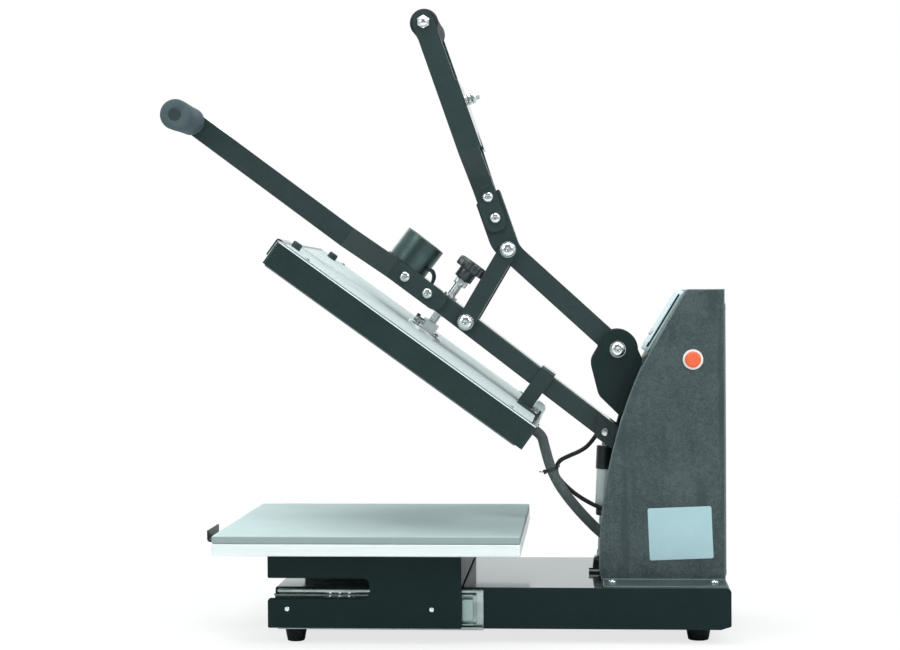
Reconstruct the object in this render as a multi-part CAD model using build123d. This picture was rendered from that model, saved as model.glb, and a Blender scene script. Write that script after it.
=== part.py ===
from build123d import *
from math import atan2, cos, degrees, hypot, pi, radians, sin, sqrt, tan
import os

# A swing-open flat heat press: a heated platen on a toggle arm above a slide-out bed.
# Millimetres. X runs from the operator to the rear, Y to the operator's left, Z up.
# The origin lies on the floor under the middle of the machine.
# The arm, the platen and the handle are drawn closed and are then swung open.

# Bed, pad and the space under them
bed_size = 381.0
bed_mid_x = -99.1
pad_t = 9.5
bed_plate_t = 15.5
bed_gap = 44.0
bed_edge_r = 3.0
bed_corner_r = 4.0
pad_inset = 0.5
pad_edge = 1.0

# Base box and feet
foot_height = 18.5
base_height = 51.5
base_width = 280.0
base_front_x = -217.6
base_rear_x = 349.0
base_wall = 2.0
base_top_r = 6.0
rear_chamfer_length = 13.0
rear_chamfer_rise = 4.0
front_foot_top_r = 13.5
front_foot_low_r = 11.0
rear_foot_top_r = 15.5
rear_foot_low_r = 13.0
front_foot_inset = 23.5
rear_foot_inset = 38.6
front_foot_side_inset = 15.0
rear_foot_side_inset = 40.0

# Drawer carriage
carriage_front_x = -224.6
carriage_length = 241.5
carriage_wall = 2.0
carriage_edge_r = 2.0
skirt_gap = 2.5
notch_length = 127.5
notch_low = 40.0
notch_height = 24.5
notch_r = 8.0
notch_lip_r = 5.0
back_wall_gap = 3.0
carriage_screw_x = (-200.0, -20.0)
carriage_screw_rise = 1.5
carriage_screw_r = 3.2
carriage_screw_height = 2.0
pull_reach = 35.1
pull_half_width = 36.0
pull_lip_height = 15.2
pull_tail = 30.0
pull_screw_x = 18.0
pull_screw_y = 22.0
sheet_t = 2.0

# Ball slides, measured outward from the side of the base
slide_bay = 18.0
slide_height = 50.0
slide_wall = 1.5
slide_outer_depth = 12.0
slide_middle_offset = 3.2
slide_middle_depth = 10.3
slide_inner_depth = 10.5
slide_front_x = -213.0
slide_length = 256.0
slide_step = 4.5
middle_shorter = 4.0
inner_shorter = 17.5
slide_stop_length = 13.0
slide_stop_gap = 1.0
slide_lip = 2.0
ball_d = 4.4
ball_gap = 0.05
balls_per_row = 3
ball_pitch = 12.0
ball_start = 70.0
cage_t = 1.0
cage_end = 8.0
slide_seat = 0.3

# Column
column_width = 164.0
column_wall = 2.0
column_top = 300.0
column_rear_x = 346.1
column_front_x = 189.9
column_shoulder_x = 252.2
column_shoulder = 195.8
column_crest_x = 299.2
column_belly_x = 207.8
column_belly = 76.0
column_crest_r = 5.0
flange_half = 138.0
flange_front_x = 191.5
front_slot_return = 12.0
front_slot_over = 11.0
front_slot_deep = 14.0
back_return = 12.0
back_panel_lap = 6.0
back_screw_inset = 2.0
flange_r = 5.0
flange_screw_x = (203.4, 330.4)
flange_screw_y = 106.0
vent_count = 6
vent_pitch = 14.0
vent_low = 150.0
vent_length = 70.0
vent_width = 5.0

# Frame plates inside the column
frame_t = 6.0
frame_nose_r = 26.0
frame_rear_x = 306.0
frame_front_x = 228.0
frame_foot_inset = 6.0
frame_foot_width = 26.0
frame_foot_t = 4.0
frame_foot_bolt_x = 18.0
frame_foot_bolt_out = 16.0
tie_bolt_r = 5.0
tie_r = 9.0
tie_x = 290.0
tie_rises = (30.0, 110.0)
upper_tie_x = 288.0
upper_tie_drop = 122.0

# Pivots, as X and the height above the pad
pivot_a_x = 212.5
pivot_a_rise = 223.3
pivot_b_x = 256.1
pivot_b_rise = 65.4
link_foot_x = -52.1
link_foot_rise = 80.9
knee_radius = 191.5
arm_opening = 36.0
pin_a_r = 6.0
pin_b_r = 7.0
knee_pin_r = 6.0
pivot_tube_wall = 6.0
running_clearance = 0.05
side_clearance = 0.5

# Lower arm
tube_width = 50.0
tube_height = 26.0
tube_wall = 2.5
tube_corner_r = 2.5
tube_tilt = 1.74
tube_front = 136.0
tube_rear = 225.4
cheek_t = 6.0
cheek_play = 1.0
cheek_top_rise = 87.2
cheek_eye_r = 17.0
cheek_height = 28.6
cheek_front_x = 155.5
cheek_slant = 15.0

# Flat bars of the handle, the toggle and the lever
flat_t = 6.0
link_width = 23.0
bar_width = 27.5
lever_width = 28.2
grip_gap = 124.0
knee_gap = 26.0
knee_bar_width = 27.3
knee_fore_low = 19.9
knee_fore_high = 15.1
knee_fore_length = 79.2
knee_end_slant = 9.3
bar_centre_drop = 3.8
grip_from_knee = 309.2
bar_end_from_knee = 40.5
bar_bolts_from_knee = (73.4, 44.5)
joggle_rear_from_knee = 88.0
joggle_front_from_knee = 136.0
bridge_rear_from_knee = 138.0
bridge_front_from_knee = 227.0
bridge_t = 3.0
grip_r = 18.5
grip_bolt_r = 5.0
bar_bolt_r = 4.0
bar_bolt_rise = 1.8
magnet_from_knee = 204.0
magnet_r = 28.3
magnet_top_rise = 137.0
magnet_groove = 1.4
magnet_outer_ring = 5.0
magnet_inner_ring = 13.0
magnet_stud_r = 4.0
armature_r = 25.0
armature_t = 3.0
armature_gap = 0.5
armature_bolt_r = 4.0
armature_bolt_rise = 18.0

# Lift lever on the right-hand side
lever_bolt_x = (-150.7, -114.4)
lever_bend_rear_x = -172.0
lever_bend_front_x = -236.0
lever_grip_x = -484.3
lever_rise = 82.3
lever_bolt_r = 4.0
side_head_r = 7.0
side_head_height = 4.5
lever_out = 86.0
lever_tilt = 0.76
lever_rod_r = 8.0
lever_grip_r = 19.0
lever_grip_end = 190.0

# Heated platen
platen_shift = 0.9
platen_gap = 0.6
heat_plate_t = 16.0
cover_t = 1.5
cover_lift = 1.8
cover_height = 33.0
cover_over = 10.0
cover_shift = 4.1
cover_rim = 10.0
heat_plate_inset = 1.8
element_r = 4.0
element_play = 0.3
element_passes = 4
element_margin = 30.0
insulation_t = 7.0
blanket_gap = 0.15
insulation_inset = 6.0
top_sheet_t = 1.0
top_sheet_inset = 9.0
gland_rise = 18.5
gland_r = 6.6
gland_hole_gap = 0.2
gland_nut_r = 9.5
gland_nut_t = 3.0
gland_out = 3.5
guard_reach = 25.0
guard_drop = 7.5
guard_leg = 16.0
guard_floor_gap = 0.8
guard_half_width = 36.0
cap_r = 6.5
cap_height = 8.0
near_cap = (6.5, -135.0)
far_cap = (19.0, 128.0)

# Pressure screw, knob and yoke
screw_shift = 8.2
screw_r = 6.0
socket_flange_r = 26.0
socket_flange_t = 5.0
socket_hex_r = 11.5
socket_height = 13.0
socket_clamp_rise = 6.5
socket_clamp_r = 3.0
socket_clamp_head_r = 5.5
nut_sleeve_r = 10.0
locknut_r = 10.0
locknut_height = 8.5
locknut_gap = 0.3
knob_rise = 86.6
knob_hub_r = 12.5
knob_hub_height = 13.0
knob_r = 21.0
knob_height = 14.0
knob_lobes = 7
lobe_r = 5.5
valley_r = 5.0
set_screw_r = 2.5
knob_room = 5.0
yoke_x = 62.0
yoke_length = 20.5
yoke_t = 3.0
yoke_gap = 0.4
yoke_top_gap = 0.5
yoke_foot = 18.0
yoke_foot_tail = 14.0
yoke_bolt_r = 6.5
yoke_bolt_height = 5.5
tab_t = 1.5
tab_y = -12.0
tab_length = 15.5
tab_height = 17.0
tab_foot = 16.0

# Gas spring
spring_pin_x = 177.8
spring_pin_rise = 71.3
spring_pin_r = 4.0
spring_anchor_x = 187.9
saddle_front = 14.0
saddle_rear = 20.0
saddle_half = 13.0
saddle_leaf = 2.5
saddle_open = 2.0
ear_t = 3.0
spring_anchor_rise = -53.5
rod_r = 3.0
rod_length = 100.0
cylinder_r = 9.0
cylinder_start = 69.0
cylinder_cap_r = 7.6
cylinder_cap_length = 10.0
cylinder_end = 150.0
sleeve_length = 30.0
sleeve_r = 10.3
spring_slot = 12.0
spring_eye_r = 7.5
spring_eye_width = 10.0
upper_eye_r = 10.5
upper_eye_play = 3.0

# Controls
panel_up = 5.0
panel_length = 92.0
panel_width = 118.0
panel_depth = 6.5
panel_corner_r = 8.0
panel_rim = 6.0
panel_ledge = 14.0
panel_hole_margin = 12.0
overlay_t = 1.0
glass_t = 1.5
display_half = 30.0
display_low = 8.0
display_high = 30.0
board_depth = 6.0
board_t = 1.6
key_r = 4.5
key_height = 4.0
key_depth = 4.0
key_hole_gap = 0.3
key_drop = 20.0
key_spacing = 26.0
button_x = 306.1
button_rise = 211.4
button_ring_r = 12.75
button_r = 10.0
button_gap = 0.1
button_wall = 2.5
button_proud = 7.0
button_depth = 26.0
button_bore = 20.0
button_flange = 2.5
button_nut_t = 5.0
inlet_width = 28.0
inlet_height = 22.0
inlet_rise = -40.0
inlet_wall = 2.5
inlet_depth = 24.0
inlet_well = 16.0
inlet_face_t = 1.4
inlet_ear = 9.0
inlet_rim = 3.0
panel_fit = 0.2
pin_reach = 13.0
pin_half = 2.0
pin_side = 7.0
pin_lift = 3.0
rocker_width = 13.0
rocker_height = 19.0
rocker_rise = 0.0
rocker_wall = 1.5
rocker_depth = 18.0
rocker_bore = 12.0
rocker_pivot_depth = 3.5
rocker_rest = 8.0

# Cables, each a hand-chosen route of X, Y, Z
conduit_r = 6.75
conduit_route = (
    (105.8, -20.0, 256.2),
    (113.9, -20.0, 250.3),
    (116.6, -20.0, 238.6),
    (120.2, -20.0, 224.6),
    (124.6, -20.0, 209.6),
    (130.6, -20.2, 195.8),
    (140.0, -20.5, 179.6),
    (154.9, -21.0, 160.2),
    (170.7, -22.0, 142.6),
    (188.0, -22.0, 125.4),
    (206.4, -21.0, 111.0),
    (224.9, -20.0, 100.2),
)
cable_r = 2.8
cable_route = (
    (184.45, -14.0, 250.75),
    (176.0, -14.0, 238.0),
    (163.0, -13.5, 229.0),
    (148.5, -12.0, 223.0),
    (133.8, -10.0, 215.5),
    (131.0, -9.8, 199.3),
    (144.5, -11.5, 183.5),
    (163.0, -15.0, 168.8),
    (190.5, -16.5, 154.3),
    (222.0, -16.0, 144.0),
)

# Worked-out heights and edges
base_top_z = foot_height + base_height
bed_plate_z = base_top_z + bed_gap
bed_top_z = bed_plate_z + bed_plate_t + pad_t
bed_front_x = bed_mid_x - bed_size / 2
base_side = base_width / 2
carriage_side = base_side + slide_bay
carriage_rear_x = carriage_front_x + carriage_length
column_side = column_width / 2
slot_side = column_side - column_wall - front_slot_return
frame_in = tube_width / 2 + cheek_t + cheek_play
frame_out = frame_in + frame_t
tube_side = tube_width / 2
link_in = tube_side + side_clearance
link_out = link_in + flat_t - side_clearance
knee_in = knee_gap / 2
bar_in = knee_in + flat_t
bar_out = bar_in + flat_t
grip_side = grip_gap / 2
platen_mid_x = bed_mid_x + platen_shift
cover_mid_x = bed_mid_x + cover_shift
cover_length = bed_size + cover_over
cover_front_x = cover_mid_x - cover_length / 2
cover_rear_x = cover_mid_x + cover_length / 2
platen_low_z = bed_top_z + platen_gap
cover_low_z = platen_low_z + cover_lift
cover_top_z = cover_low_z + cover_height
top_sheet_z = cover_top_z + top_sheet_t
screw_x = platen_mid_x + screw_shift
cover_skin_x = column_rear_x + cover_t
inlet_z0 = bed_top_z + inlet_rise
rocker_z0 = bed_top_z + rocker_rise
gland_y = -20.0
gland_z = platen_low_z + gland_rise
slide_mid_z = foot_height + slide_height / 2
race = ball_d + 2 * ball_gap
middle_height = slide_height - 2 * slide_wall - 2 * race
inner_height = middle_height - 2 * slide_wall - 2 * race
middle_start_x = slide_front_x - slide_step
inner_start_x = middle_start_x - slide_step
inner_length = slide_length - inner_shorter

pivot_a = (pivot_a_x, bed_top_z + pivot_a_rise)
pivot_b = (pivot_b_x, bed_top_z + pivot_b_rise)
link_foot = (link_foot_x, bed_top_z + link_foot_rise)
spring_anchor = (spring_anchor_x, bed_top_z + spring_anchor_rise)
spring_pin = (spring_pin_x, bed_top_z + spring_pin_rise)
tie_points = (
    (tie_x, base_top_z + tie_rises[0]),
    (tie_x, base_top_z + tie_rises[1]),
    (upper_tie_x, pivot_a[1] - upper_tie_drop),
)
button_point = (button_x, bed_top_z + button_rise)
rocker_pivot = (cover_skin_x - rocker_pivot_depth, rocker_z0 + rocker_height / 2)


def angle_of(start, end):
    """Direction from one point to another in the side view, in degrees."""
    return degrees(atan2(end[1] - start[1], end[0] - start[0]))


def distance(start, end):
    return hypot(end[0] - start[0], end[1] - start[1])


def along(start, end, length):
    """The point at a length from start towards end."""
    share = length / distance(start, end)
    return (start[0] + (end[0] - start[0]) * share, start[1] + (end[1] - start[1]) * share)


def turned(point, centre, turn):
    """A side-view point after the front has been raised about a centre by turn degrees."""
    x = point[0] - centre[0]
    z = point[1] - centre[1]
    c = cos(radians(turn))
    s = sin(radians(turn))
    return (centre[0] + x * c + z * s, centre[1] - x * s + z * c)


def upper_crossing(centre, radius, other, other_radius):
    """The higher crossing of two circles in the side view."""
    span = distance(centre, other)
    foot = (radius ** 2 - other_radius ** 2 + span ** 2) / (2 * span)
    rise = sqrt(radius ** 2 - foot ** 2)
    x, z = along(centre, other, foot)
    across = ((other[1] - centre[1]) / span * rise, (centre[0] - other[0]) / span * rise)
    ends = ((x + across[0], z + across[1]), (x - across[0], z - across[1]))
    return max(ends, key=lambda end: end[1])


# The toggle is straight when the press is closed, which fixes the length of its link
link_length = distance(pivot_a, link_foot) - knee_radius
knee_closed = along(pivot_a, link_foot, knee_radius)
foot_open = turned(link_foot, pivot_b, arm_opening)
knee_open = upper_crossing(pivot_a, knee_radius, foot_open, link_length)
handle_opening = (angle_of(pivot_a, knee_closed) - angle_of(pivot_a, knee_open)) % 360
link_opening = angle_of(knee_closed, link_foot) - angle_of(knee_open, foot_open)
pin_open = turned(spring_pin, pivot_b, arm_opening)
spring_lean = 90 - angle_of(spring_anchor, pin_open)
spring_open_length = distance(spring_anchor, pin_open)
spring_closed_length = distance(spring_anchor, spring_pin)
knee_x, knee_z = knee_closed
bar_z = knee_z - bar_centre_drop
magnet_x = knee_x - magnet_from_knee
bar_bolt_points = [(knee_x - offset, bar_z + bar_bolt_rise) for offset in bar_bolts_from_knee]


def about(point, turn):
    """Raises the front of what is drawn closed about a side-view point."""
    return Pos(point[0], 0, point[1]) * Rot(0, turn, 0) * Pos(-point[0], 0, -point[1])


arm_swing = about(pivot_b, arm_opening)
handle_swing = about(pivot_a, handle_opening)
link_swing = (
    Pos(knee_open[0], 0, knee_open[1]) * Rot(0, link_opening, 0) * Pos(-knee_x, 0, -knee_z)
)
tube_place = arm_swing * Pos(link_foot[0], 0, link_foot[1]) * Rot(0, tube_tilt, 0)
spring_place = Pos(spring_anchor[0], 0, spring_anchor[1]) * Rot(0, spring_lean, 0)


def tube_line(x):
    """Height of the closed tube's middle line at an X."""
    return link_foot[1] - (x - link_foot[0]) * tan(radians(tube_tilt))


def block(x0, x1, y0, y1, z0, z1):
    """A box between two opposite corners."""
    return Pos((x0 + x1) / 2, (y0 + y1) / 2, (z0 + z1) / 2) * Box(x1 - x0, y1 - y0, z1 - z0)


def rod_y(point, y0, y1, r):
    """A round bar across the machine at a side-view point."""
    return Pos(point[0], (y0 + y1) / 2, point[1]) * Rot(90, 0, 0) * Cylinder(r, y1 - y0)


def rod_z(x, y, z0, z1, r):
    return Pos(x, y, (z0 + z1) / 2) * Cylinder(r, z1 - z0)


def hex_z(x, y, z0, z1, r):
    """An upright hexagon bar with its corners at radius r."""
    return Pos(x, y, z0) * extrude(RegularPolygon(r, 6), z1 - z0)


def outline(points, radii):
    """A closed side-view face with a radius at each corner."""
    return make_face(FilletPolyline(*points, radius=radii, close=True))


def plate(face, y0, y1):
    """A side-view face given its thickness across the machine."""
    side_plane = Plane(origin=(0, y1, 0), x_dir=(1, 0, 0), z_dir=(0, -1, 0))
    return extrude(side_plane * face, y1 - y0)


def strap(start, end, width, y0, y1):
    """A flat bar with round ends about two side-view points."""
    return plate(slot_face(start, end, width), y0, y1)


def pair(shape):
    """The shape and its mirror image across the middle plane."""
    return Compound(children=[*shape.solids(), *mirror(shape, Plane.XZ).solids()])


def group(*shapes):
    """Separate solids held in one node."""
    return Compound(children=[solid for shape in shapes for solid in shape.solids()])


def dome(base_r, low, high):
    """The stepped outline of a round crown from its rim to its top, in radius and height."""
    rise = high - low
    return Polyline((base_r, low), (base_r * 0.8, low + rise * 0.6), (base_r * 0.4, high), (0, high))


def domed_head(point, y, side, r, height):
    """A washer and a domed bolt head that stand out from a face at y."""
    washer = height * 0.3
    head_r = r * 0.78
    rim = Polyline((0, height), (0, 0), (r, 0), (r, washer), (head_r, washer))
    head = revolve(Plane.XZ * make_face(rim + dome(head_r, washer, height)), Axis.Z, 360)
    return Pos(point[0], y, point[1]) * Rot(-90 * side, 0, 0) * head


def low_head(point, y, side, r, height):
    """A small button head on a face at y, wider at its foot."""
    cone = Cone(r, r * 0.6, height)
    return Pos(point[0], y + side * height / 2, point[1]) * Rot(-90 * side, 0, 0) * cone


def through_bolt(point, half, shank_r, head_r, head_h, head=domed_head):
    """A bolt right across the machine with a head at each end."""
    shank = rod_y(point, -half, half, shank_r)
    return shank + head(point, half, 1, head_r, head_h) + head(point, -half, -1, head_r, head_h)


def side_bolt(point, y_in, y_out, shank_r, head_r, head_h):
    """A short bolt on the right-hand side, its head outward."""
    shank = rod_y(point, -y_out, -y_in, shank_r)
    return shank + low_head(point, -y_out, -1, head_r, head_h)


def screw_head_z(x, y, z, r, height):
    """A low screw head standing on a level face."""
    return Pos(x, y, z + height / 2) * Cone(r, r * 0.7, height)


# Base


def base_box():
    low = foot_height
    face = outline(
        [
            (base_front_x, low),
            (base_rear_x - rear_chamfer_length, low),
            (base_rear_x, low + rear_chamfer_rise),
            (base_rear_x, base_top_z),
            (base_front_x, base_top_z),
        ],
        [2, 3, 2, base_top_r, 3],
    )
    shell = plate(face, -base_side, base_side)
    hollow = block(
        base_front_x + base_wall,
        base_rear_x - base_wall,
        base_wall - base_side,
        base_side - base_wall,
        low + base_wall + rear_chamfer_rise,
        base_top_z - base_wall,
    )
    hatch = block(
        base_front_x + 3 * base_wall,
        base_rear_x - rear_chamfer_length - 3 * base_wall,
        6 * base_wall - base_side,
        base_side - 6 * base_wall,
        low - 1,
        low + 3 * base_wall + rear_chamfer_rise,
    )
    pan = block(
        base_front_x + 3 * base_wall,
        base_rear_x - rear_chamfer_length - 3 * base_wall,
        6 * base_wall - base_side,
        base_side - 6 * base_wall,
        low,
        low + base_wall,
    )
    return group(shell - hollow - hatch, pan)


def rubber_foot(x, y, top_r, low_r):
    return Pos(x, y, foot_height / 2) * Cone(low_r, top_r, foot_height)


def feet():
    front_x = base_front_x + front_foot_inset
    rear_x = base_rear_x - rear_foot_inset
    front_y = base_side - front_foot_side_inset
    rear_y = base_side - rear_foot_side_inset
    front = rubber_foot(front_x, front_y, front_foot_top_r, front_foot_low_r)
    rear = rubber_foot(rear_x, rear_y, rear_foot_top_r, rear_foot_low_r)
    return pair(group(front, rear))


# Ball slides


def channel(depth, height, lip):
    """A C section: web on the left at 0, open to the right, lips turned in."""
    outer = RectangleRounded(depth, height, 1.2)
    inner = Rectangle(depth - 2 * slide_wall, height - 2 * slide_wall)
    mouth = Pos(depth / 2, 0) * Rectangle(4 * slide_wall, height - 2 * slide_wall - 2 * lip)
    return Pos(depth / 2, 0) * (outer - inner - mouth)


def slide_member(face, x0, length):
    """A section drawn outward from the base side, run along the machine."""
    section_plane = Plane(origin=(x0, 0, slide_mid_z), x_dir=(0, 1, 0), z_dir=(1, 0, 0))
    return extrude(section_plane * face, length)


def slide_outer_members():
    face = Pos(base_side + slide_seat, 0) * channel(slide_outer_depth, slide_height, slide_lip)
    return pair(slide_member(face, slide_front_x, slide_length))


def slide_middle_members():
    """The middle members, each with a moulded stop in its rear end."""
    web_y = base_side + slide_middle_offset
    face = Pos(web_y, 0) * channel(slide_middle_depth, middle_height, 0)
    member = slide_member(face, middle_start_x, slide_length - middle_shorter)
    stop_x = inner_start_x + inner_length + slide_stop_gap
    half = inner_height / 2
    stop = block(
        stop_x,
        stop_x + slide_stop_length,
        web_y + slide_wall,
        web_y + slide_middle_depth,
        slide_mid_z - half,
        slide_mid_z + half,
    )
    stop = chamfer(stop.edges().filter_by(Axis.Y), slide_wall)
    return pair(group(member, stop))


def slide_inner_members():
    section = mirror(channel(slide_inner_depth, inner_height, 0), Plane.YZ)
    face = Pos(carriage_side, 0) * section
    return pair(slide_member(face, inner_start_x, inner_length))


def ball():
    """A slide ball in few flat facets, where two eight-sided bars cross."""
    bar = extrude(RegularPolygon(ball_d / 2, 8), ball_d / 2, both=True)
    return bar & Rot(90, 0, 0) * bar


def ball_row(y, height):
    """Balls between two races, held in a thin cage strip."""
    x0 = middle_start_x + ball_start
    z = slide_mid_z + height
    last = x0 + (balls_per_row - 1) * ball_pitch
    half_y = ball_d / 2
    half_t = cage_t / 2
    row = block(x0 - cage_end, last + cage_end, y - half_y, y + half_y, z - half_t, z + half_t)
    for n in range(balls_per_row):
        row += Pos(x0 + n * ball_pitch, y, z) * ball()
    return row


def slide_balls():
    """One caged row in each of the four races on either side."""
    middle_y = base_side + slide_middle_offset + slide_middle_depth / 2
    outer_y = middle_y - 1.0
    inner_y = middle_y + slide_middle_depth / 2 - ball_d / 2 - 1.0
    outer_h = (middle_height + race) / 2
    inner_h = (inner_height + race) / 2
    rows = []
    for y, height in ((outer_y, outer_h), (inner_y, inner_h)):
        rows.append(ball_row(y, height))
        rows.append(ball_row(y, -height))
    return pair(group(*rows))


# Drawer


def carriage_side_face():
    """Side view of the carriage with the notch that opens to the front."""
    low = foot_height + skirt_gap
    notch_z = foot_height + notch_low
    notch_x = carriage_front_x + notch_length
    points = [
        (carriage_front_x, low),
        (carriage_rear_x, low),
        (carriage_rear_x, bed_plate_z),
        (carriage_front_x, bed_plate_z),
        (carriage_front_x, notch_z + notch_height),
        (notch_x, notch_z + notch_height),
        (notch_x, notch_z),
        (carriage_front_x, notch_z),
    ]
    edge = carriage_edge_r
    return outline(points, [edge, edge, edge, edge, edge, notch_r, notch_r, notch_lip_r])


def drawer_carriage():
    """A folded tray over the base, open at the front and below."""
    x0 = carriage_front_x
    x1 = carriage_rear_x
    side = carriage_side + carriage_wall
    low = foot_height
    shell = plate(carriage_side_face(), -side, side)
    shell = fillet(shell.edges().filter_by(Axis.X).group_by(Axis.Z)[-1], carriage_wall)
    inner_x = x1 - carriage_wall
    inner_z = bed_plate_z - carriage_wall
    shell -= block(x0 - 1, inner_x, -carriage_side, carriage_side, low - 1, inner_z)
    over_base = base_top_z + back_wall_gap
    return shell - block(x0, x1 + 1, -carriage_side, carriage_side, low - 1, over_base)


def carriage_screws():
    """Pan heads on the outside of the carriage that hold the slides."""
    y = -carriage_side - carriage_wall
    z = slide_mid_z + carriage_screw_rise
    r = carriage_screw_r
    heads = [low_head((x, z), y, -1, r, carriage_screw_height) for x in carriage_screw_x]
    return pair(group(*heads))


def bed_plate():
    half = bed_size / 2
    high = bed_plate_z + bed_plate_t
    slab = block(bed_mid_x - half, bed_mid_x + half, -half, half, bed_plate_z, high)
    slab = fillet(slab.edges().filter_by(Axis.Z), bed_corner_r)
    ends = slab.edges().filter_by(Axis.Y)
    return fillet(ends, bed_edge_r)


def bed_pad():
    half = bed_size / 2 - pad_inset
    low = bed_plate_z + bed_plate_t
    slab = block(bed_mid_x - half, bed_mid_x + half, -half, half, low, bed_top_z)
    slab = fillet(slab.edges().filter_by(Axis.Z), bed_corner_r)
    return chamfer(slab.faces().sort_by(Axis.Z)[-1].edges(), pad_edge)


def drawer_pull():
    """A bent sheet handle under the front edge of the bed, held by two screws from below."""
    tip = bed_front_x - pull_reach
    low = bed_plate_z - sheet_t
    lip_z = low + pull_lip_height
    points = [
        (bed_front_x + pull_tail, low),
        (bed_front_x + pull_tail, bed_plate_z),
        (tip + sheet_t, bed_plate_z),
        (tip + sheet_t, lip_z),
        (tip, lip_z),
        (tip, low),
    ]
    body = plate(outline(points, [0, 0, sheet_t, 0, 0, 2 * sheet_t]), -pull_half_width, pull_half_width)
    heads = []
    for y in (-pull_screw_y, pull_screw_y):
        turn = Pos(bed_front_x + pull_screw_x, y, low) * Rot(180, 0, 0)
        heads.append(turn * screw_head_z(0, 0, 0, 4, 2.2))
    return group(body, *heads)


# Column


def column_face(inset):
    """Side view of the column, drawn smaller all round by an inset."""
    low = base_top_z
    slope = atan2(column_top - column_shoulder, column_crest_x - column_shoulder_x)
    lean = inset / sin(slope)
    rear = column_rear_x - inset
    top = bed_top_z + column_top - inset
    shoulder = (column_shoulder_x + lean, bed_top_z + column_shoulder)
    crest_x = column_crest_x + lean - inset / tan(slope)
    belly = (column_belly_x + inset, bed_top_z + column_belly)
    foot = (column_front_x + inset, low)
    front = ThreePointArc(foot, belly, shoulder)
    rest = Polyline(shoulder, (crest_x, top), (rear, top), (rear, low), foot)
    return make_face(front + rest)


def column_flange(inner_side):
    """The foot of one side, turned out on the base."""
    foot = block(flange_front_x, column_rear_x, inner_side, flange_half, base_top_z, base_top_z + sheet_t)
    return fillet(foot.edges().filter_by(Axis.Z).sort_by(Axis.Y)[-2:], flange_r)


def column_cover():
    shell = plate(column_face(0), -column_side, column_side)
    crest = shell.edges().filter_by(Axis.Y).sort_by(Axis.Z)[-2:].sort_by(Axis.X)[0]
    shell = fillet(crest, column_crest_r)
    inner_side = column_side - column_wall
    shell -= plate(column_face(column_wall), -inner_side, inner_side)
    front = column_front_x + column_wall
    rear = column_rear_x - column_wall
    shell -= block(front, rear, -inner_side, inner_side, 0, base_top_z + column_wall)
    slot_x = column_shoulder_x + front_slot_deep
    slot_top = bed_top_z + column_shoulder + front_slot_over
    shell -= block(0, slot_x, -slot_side, slot_side, base_top_z - 1, slot_top)
    back_low = base_top_z + back_return
    back_high = bed_top_z + column_top - 2 * back_return
    shell -= block(rear - column_wall, column_rear_x + 1, -slot_side, slot_side, back_low, back_high)
    flange = column_flange(inner_side)
    return shell + flange + mirror(flange, Plane.XZ) - button_hole() - panel_window()


def back_panel():
    """Rear sheet with vents and the holes for the inlet and the rocker."""
    x0 = column_rear_x
    side = slot_side + back_panel_lap
    low = base_top_z + back_return - back_panel_lap
    high = bed_top_z + column_top - 2 * back_return + back_panel_lap
    sheet = block(x0, cover_skin_x, -side, side, low, high)
    sheet = fillet(sheet.edges().filter_by(Axis.X), 4)
    vent = Rot(0, 90, 0) * Rot(0, 0, 90) * extrude(SlotOverall(vent_length, vent_width), 10, both=True)
    for row in range(vent_count):
        sheet -= Pos(x0, 0, bed_top_z + vent_low + row * vent_pitch) * vent
    inlet = window(inlet_width, inlet_z0, inlet_height, panel_fit)
    rocker = window(rocker_width, rocker_z0, rocker_height, rocker_wall + panel_fit)
    return sheet - inlet - rocker


def window(width, z0, height, gap):
    """A cutter through the rear sheet, larger all round by a gap."""
    half = width / 2 + gap
    return block(column_rear_x - 1, cover_skin_x + 1, -half, half, z0 - gap, z0 + height + gap)


def cover_screws():
    z = base_top_z + sheet_t
    low = [screw_head_z(x, flange_screw_y, z, 5, 3) for x in flange_screw_x]
    side = slot_side - back_screw_inset + back_panel_lap / 2
    rear = []
    for z in (base_top_z + back_return, bed_top_z + column_top - 2 * back_return):
        rear.append(Pos(cover_skin_x, side, z) * Rot(0, 90, 0) * screw_head_z(0, 0, 0, 3.5, 1.2))
    return pair(group(*low, *rear))


# Frame inside the column


def frame_face():
    ax, az = pivot_a
    low = base_top_z
    nose = outline(
        [
            (ax - 20, az + 12),
            (ax - 36, az - 15),
            (ax - 25, az - 59),
            (frame_front_x, az - 99),
            (frame_front_x, low),
            (frame_rear_x, low),
            (frame_rear_x, az - 110),
            (ax + 45, az - 45),
            (ax + 20, az + 14),
        ],
        [4, 18, 18, 10, 3, 3, 20, 12, 4],
    )
    return nose + Pos(ax, az) * Circle(frame_nose_r)


def frame_plates():
    """Two plates with turned feet that carry both pivots."""
    body = plate(frame_face(), frame_in, frame_out)
    body -= rod_y(pivot_a, frame_in - 1, frame_out + 1, pin_a_r)
    body -= rod_y(pivot_b, frame_in - 1, frame_out + 1, pin_b_r)
    for point in tie_points:
        body -= rod_y(point, frame_in - 1, frame_out + 1, tie_bolt_r)
    x0 = frame_front_x + frame_foot_inset
    x1 = frame_rear_x - frame_foot_inset
    t = frame_foot_t
    foot = block(x0, x1, frame_out, frame_out + frame_foot_width, base_top_z, base_top_z + t)
    weld = block(x0, x1, frame_out, frame_out + t, base_top_z + t, base_top_z + 2 * t)
    return pair(body + foot + weld)


def frame_ties():
    """Spacer tubes with their bolts between the plates, and the foot bolts."""
    ties = []
    for point in tie_points:
        stud = through_bolt(point, frame_out, tie_bolt_r, tie_r, 5, low_head)
        ties.append(stud + rod_y(point, -frame_in, frame_in, tie_r))
    foot_y = frame_out + frame_foot_bolt_out
    foot_z = base_top_z + frame_foot_t
    foot_bolts = []
    for x in (frame_front_x + frame_foot_bolt_x, frame_rear_x - frame_foot_bolt_x):
        foot_bolts.append(screw_head_z(x, foot_y, foot_z, 6, 4))
    return group(*ties, pair(group(*foot_bolts)))


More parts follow.
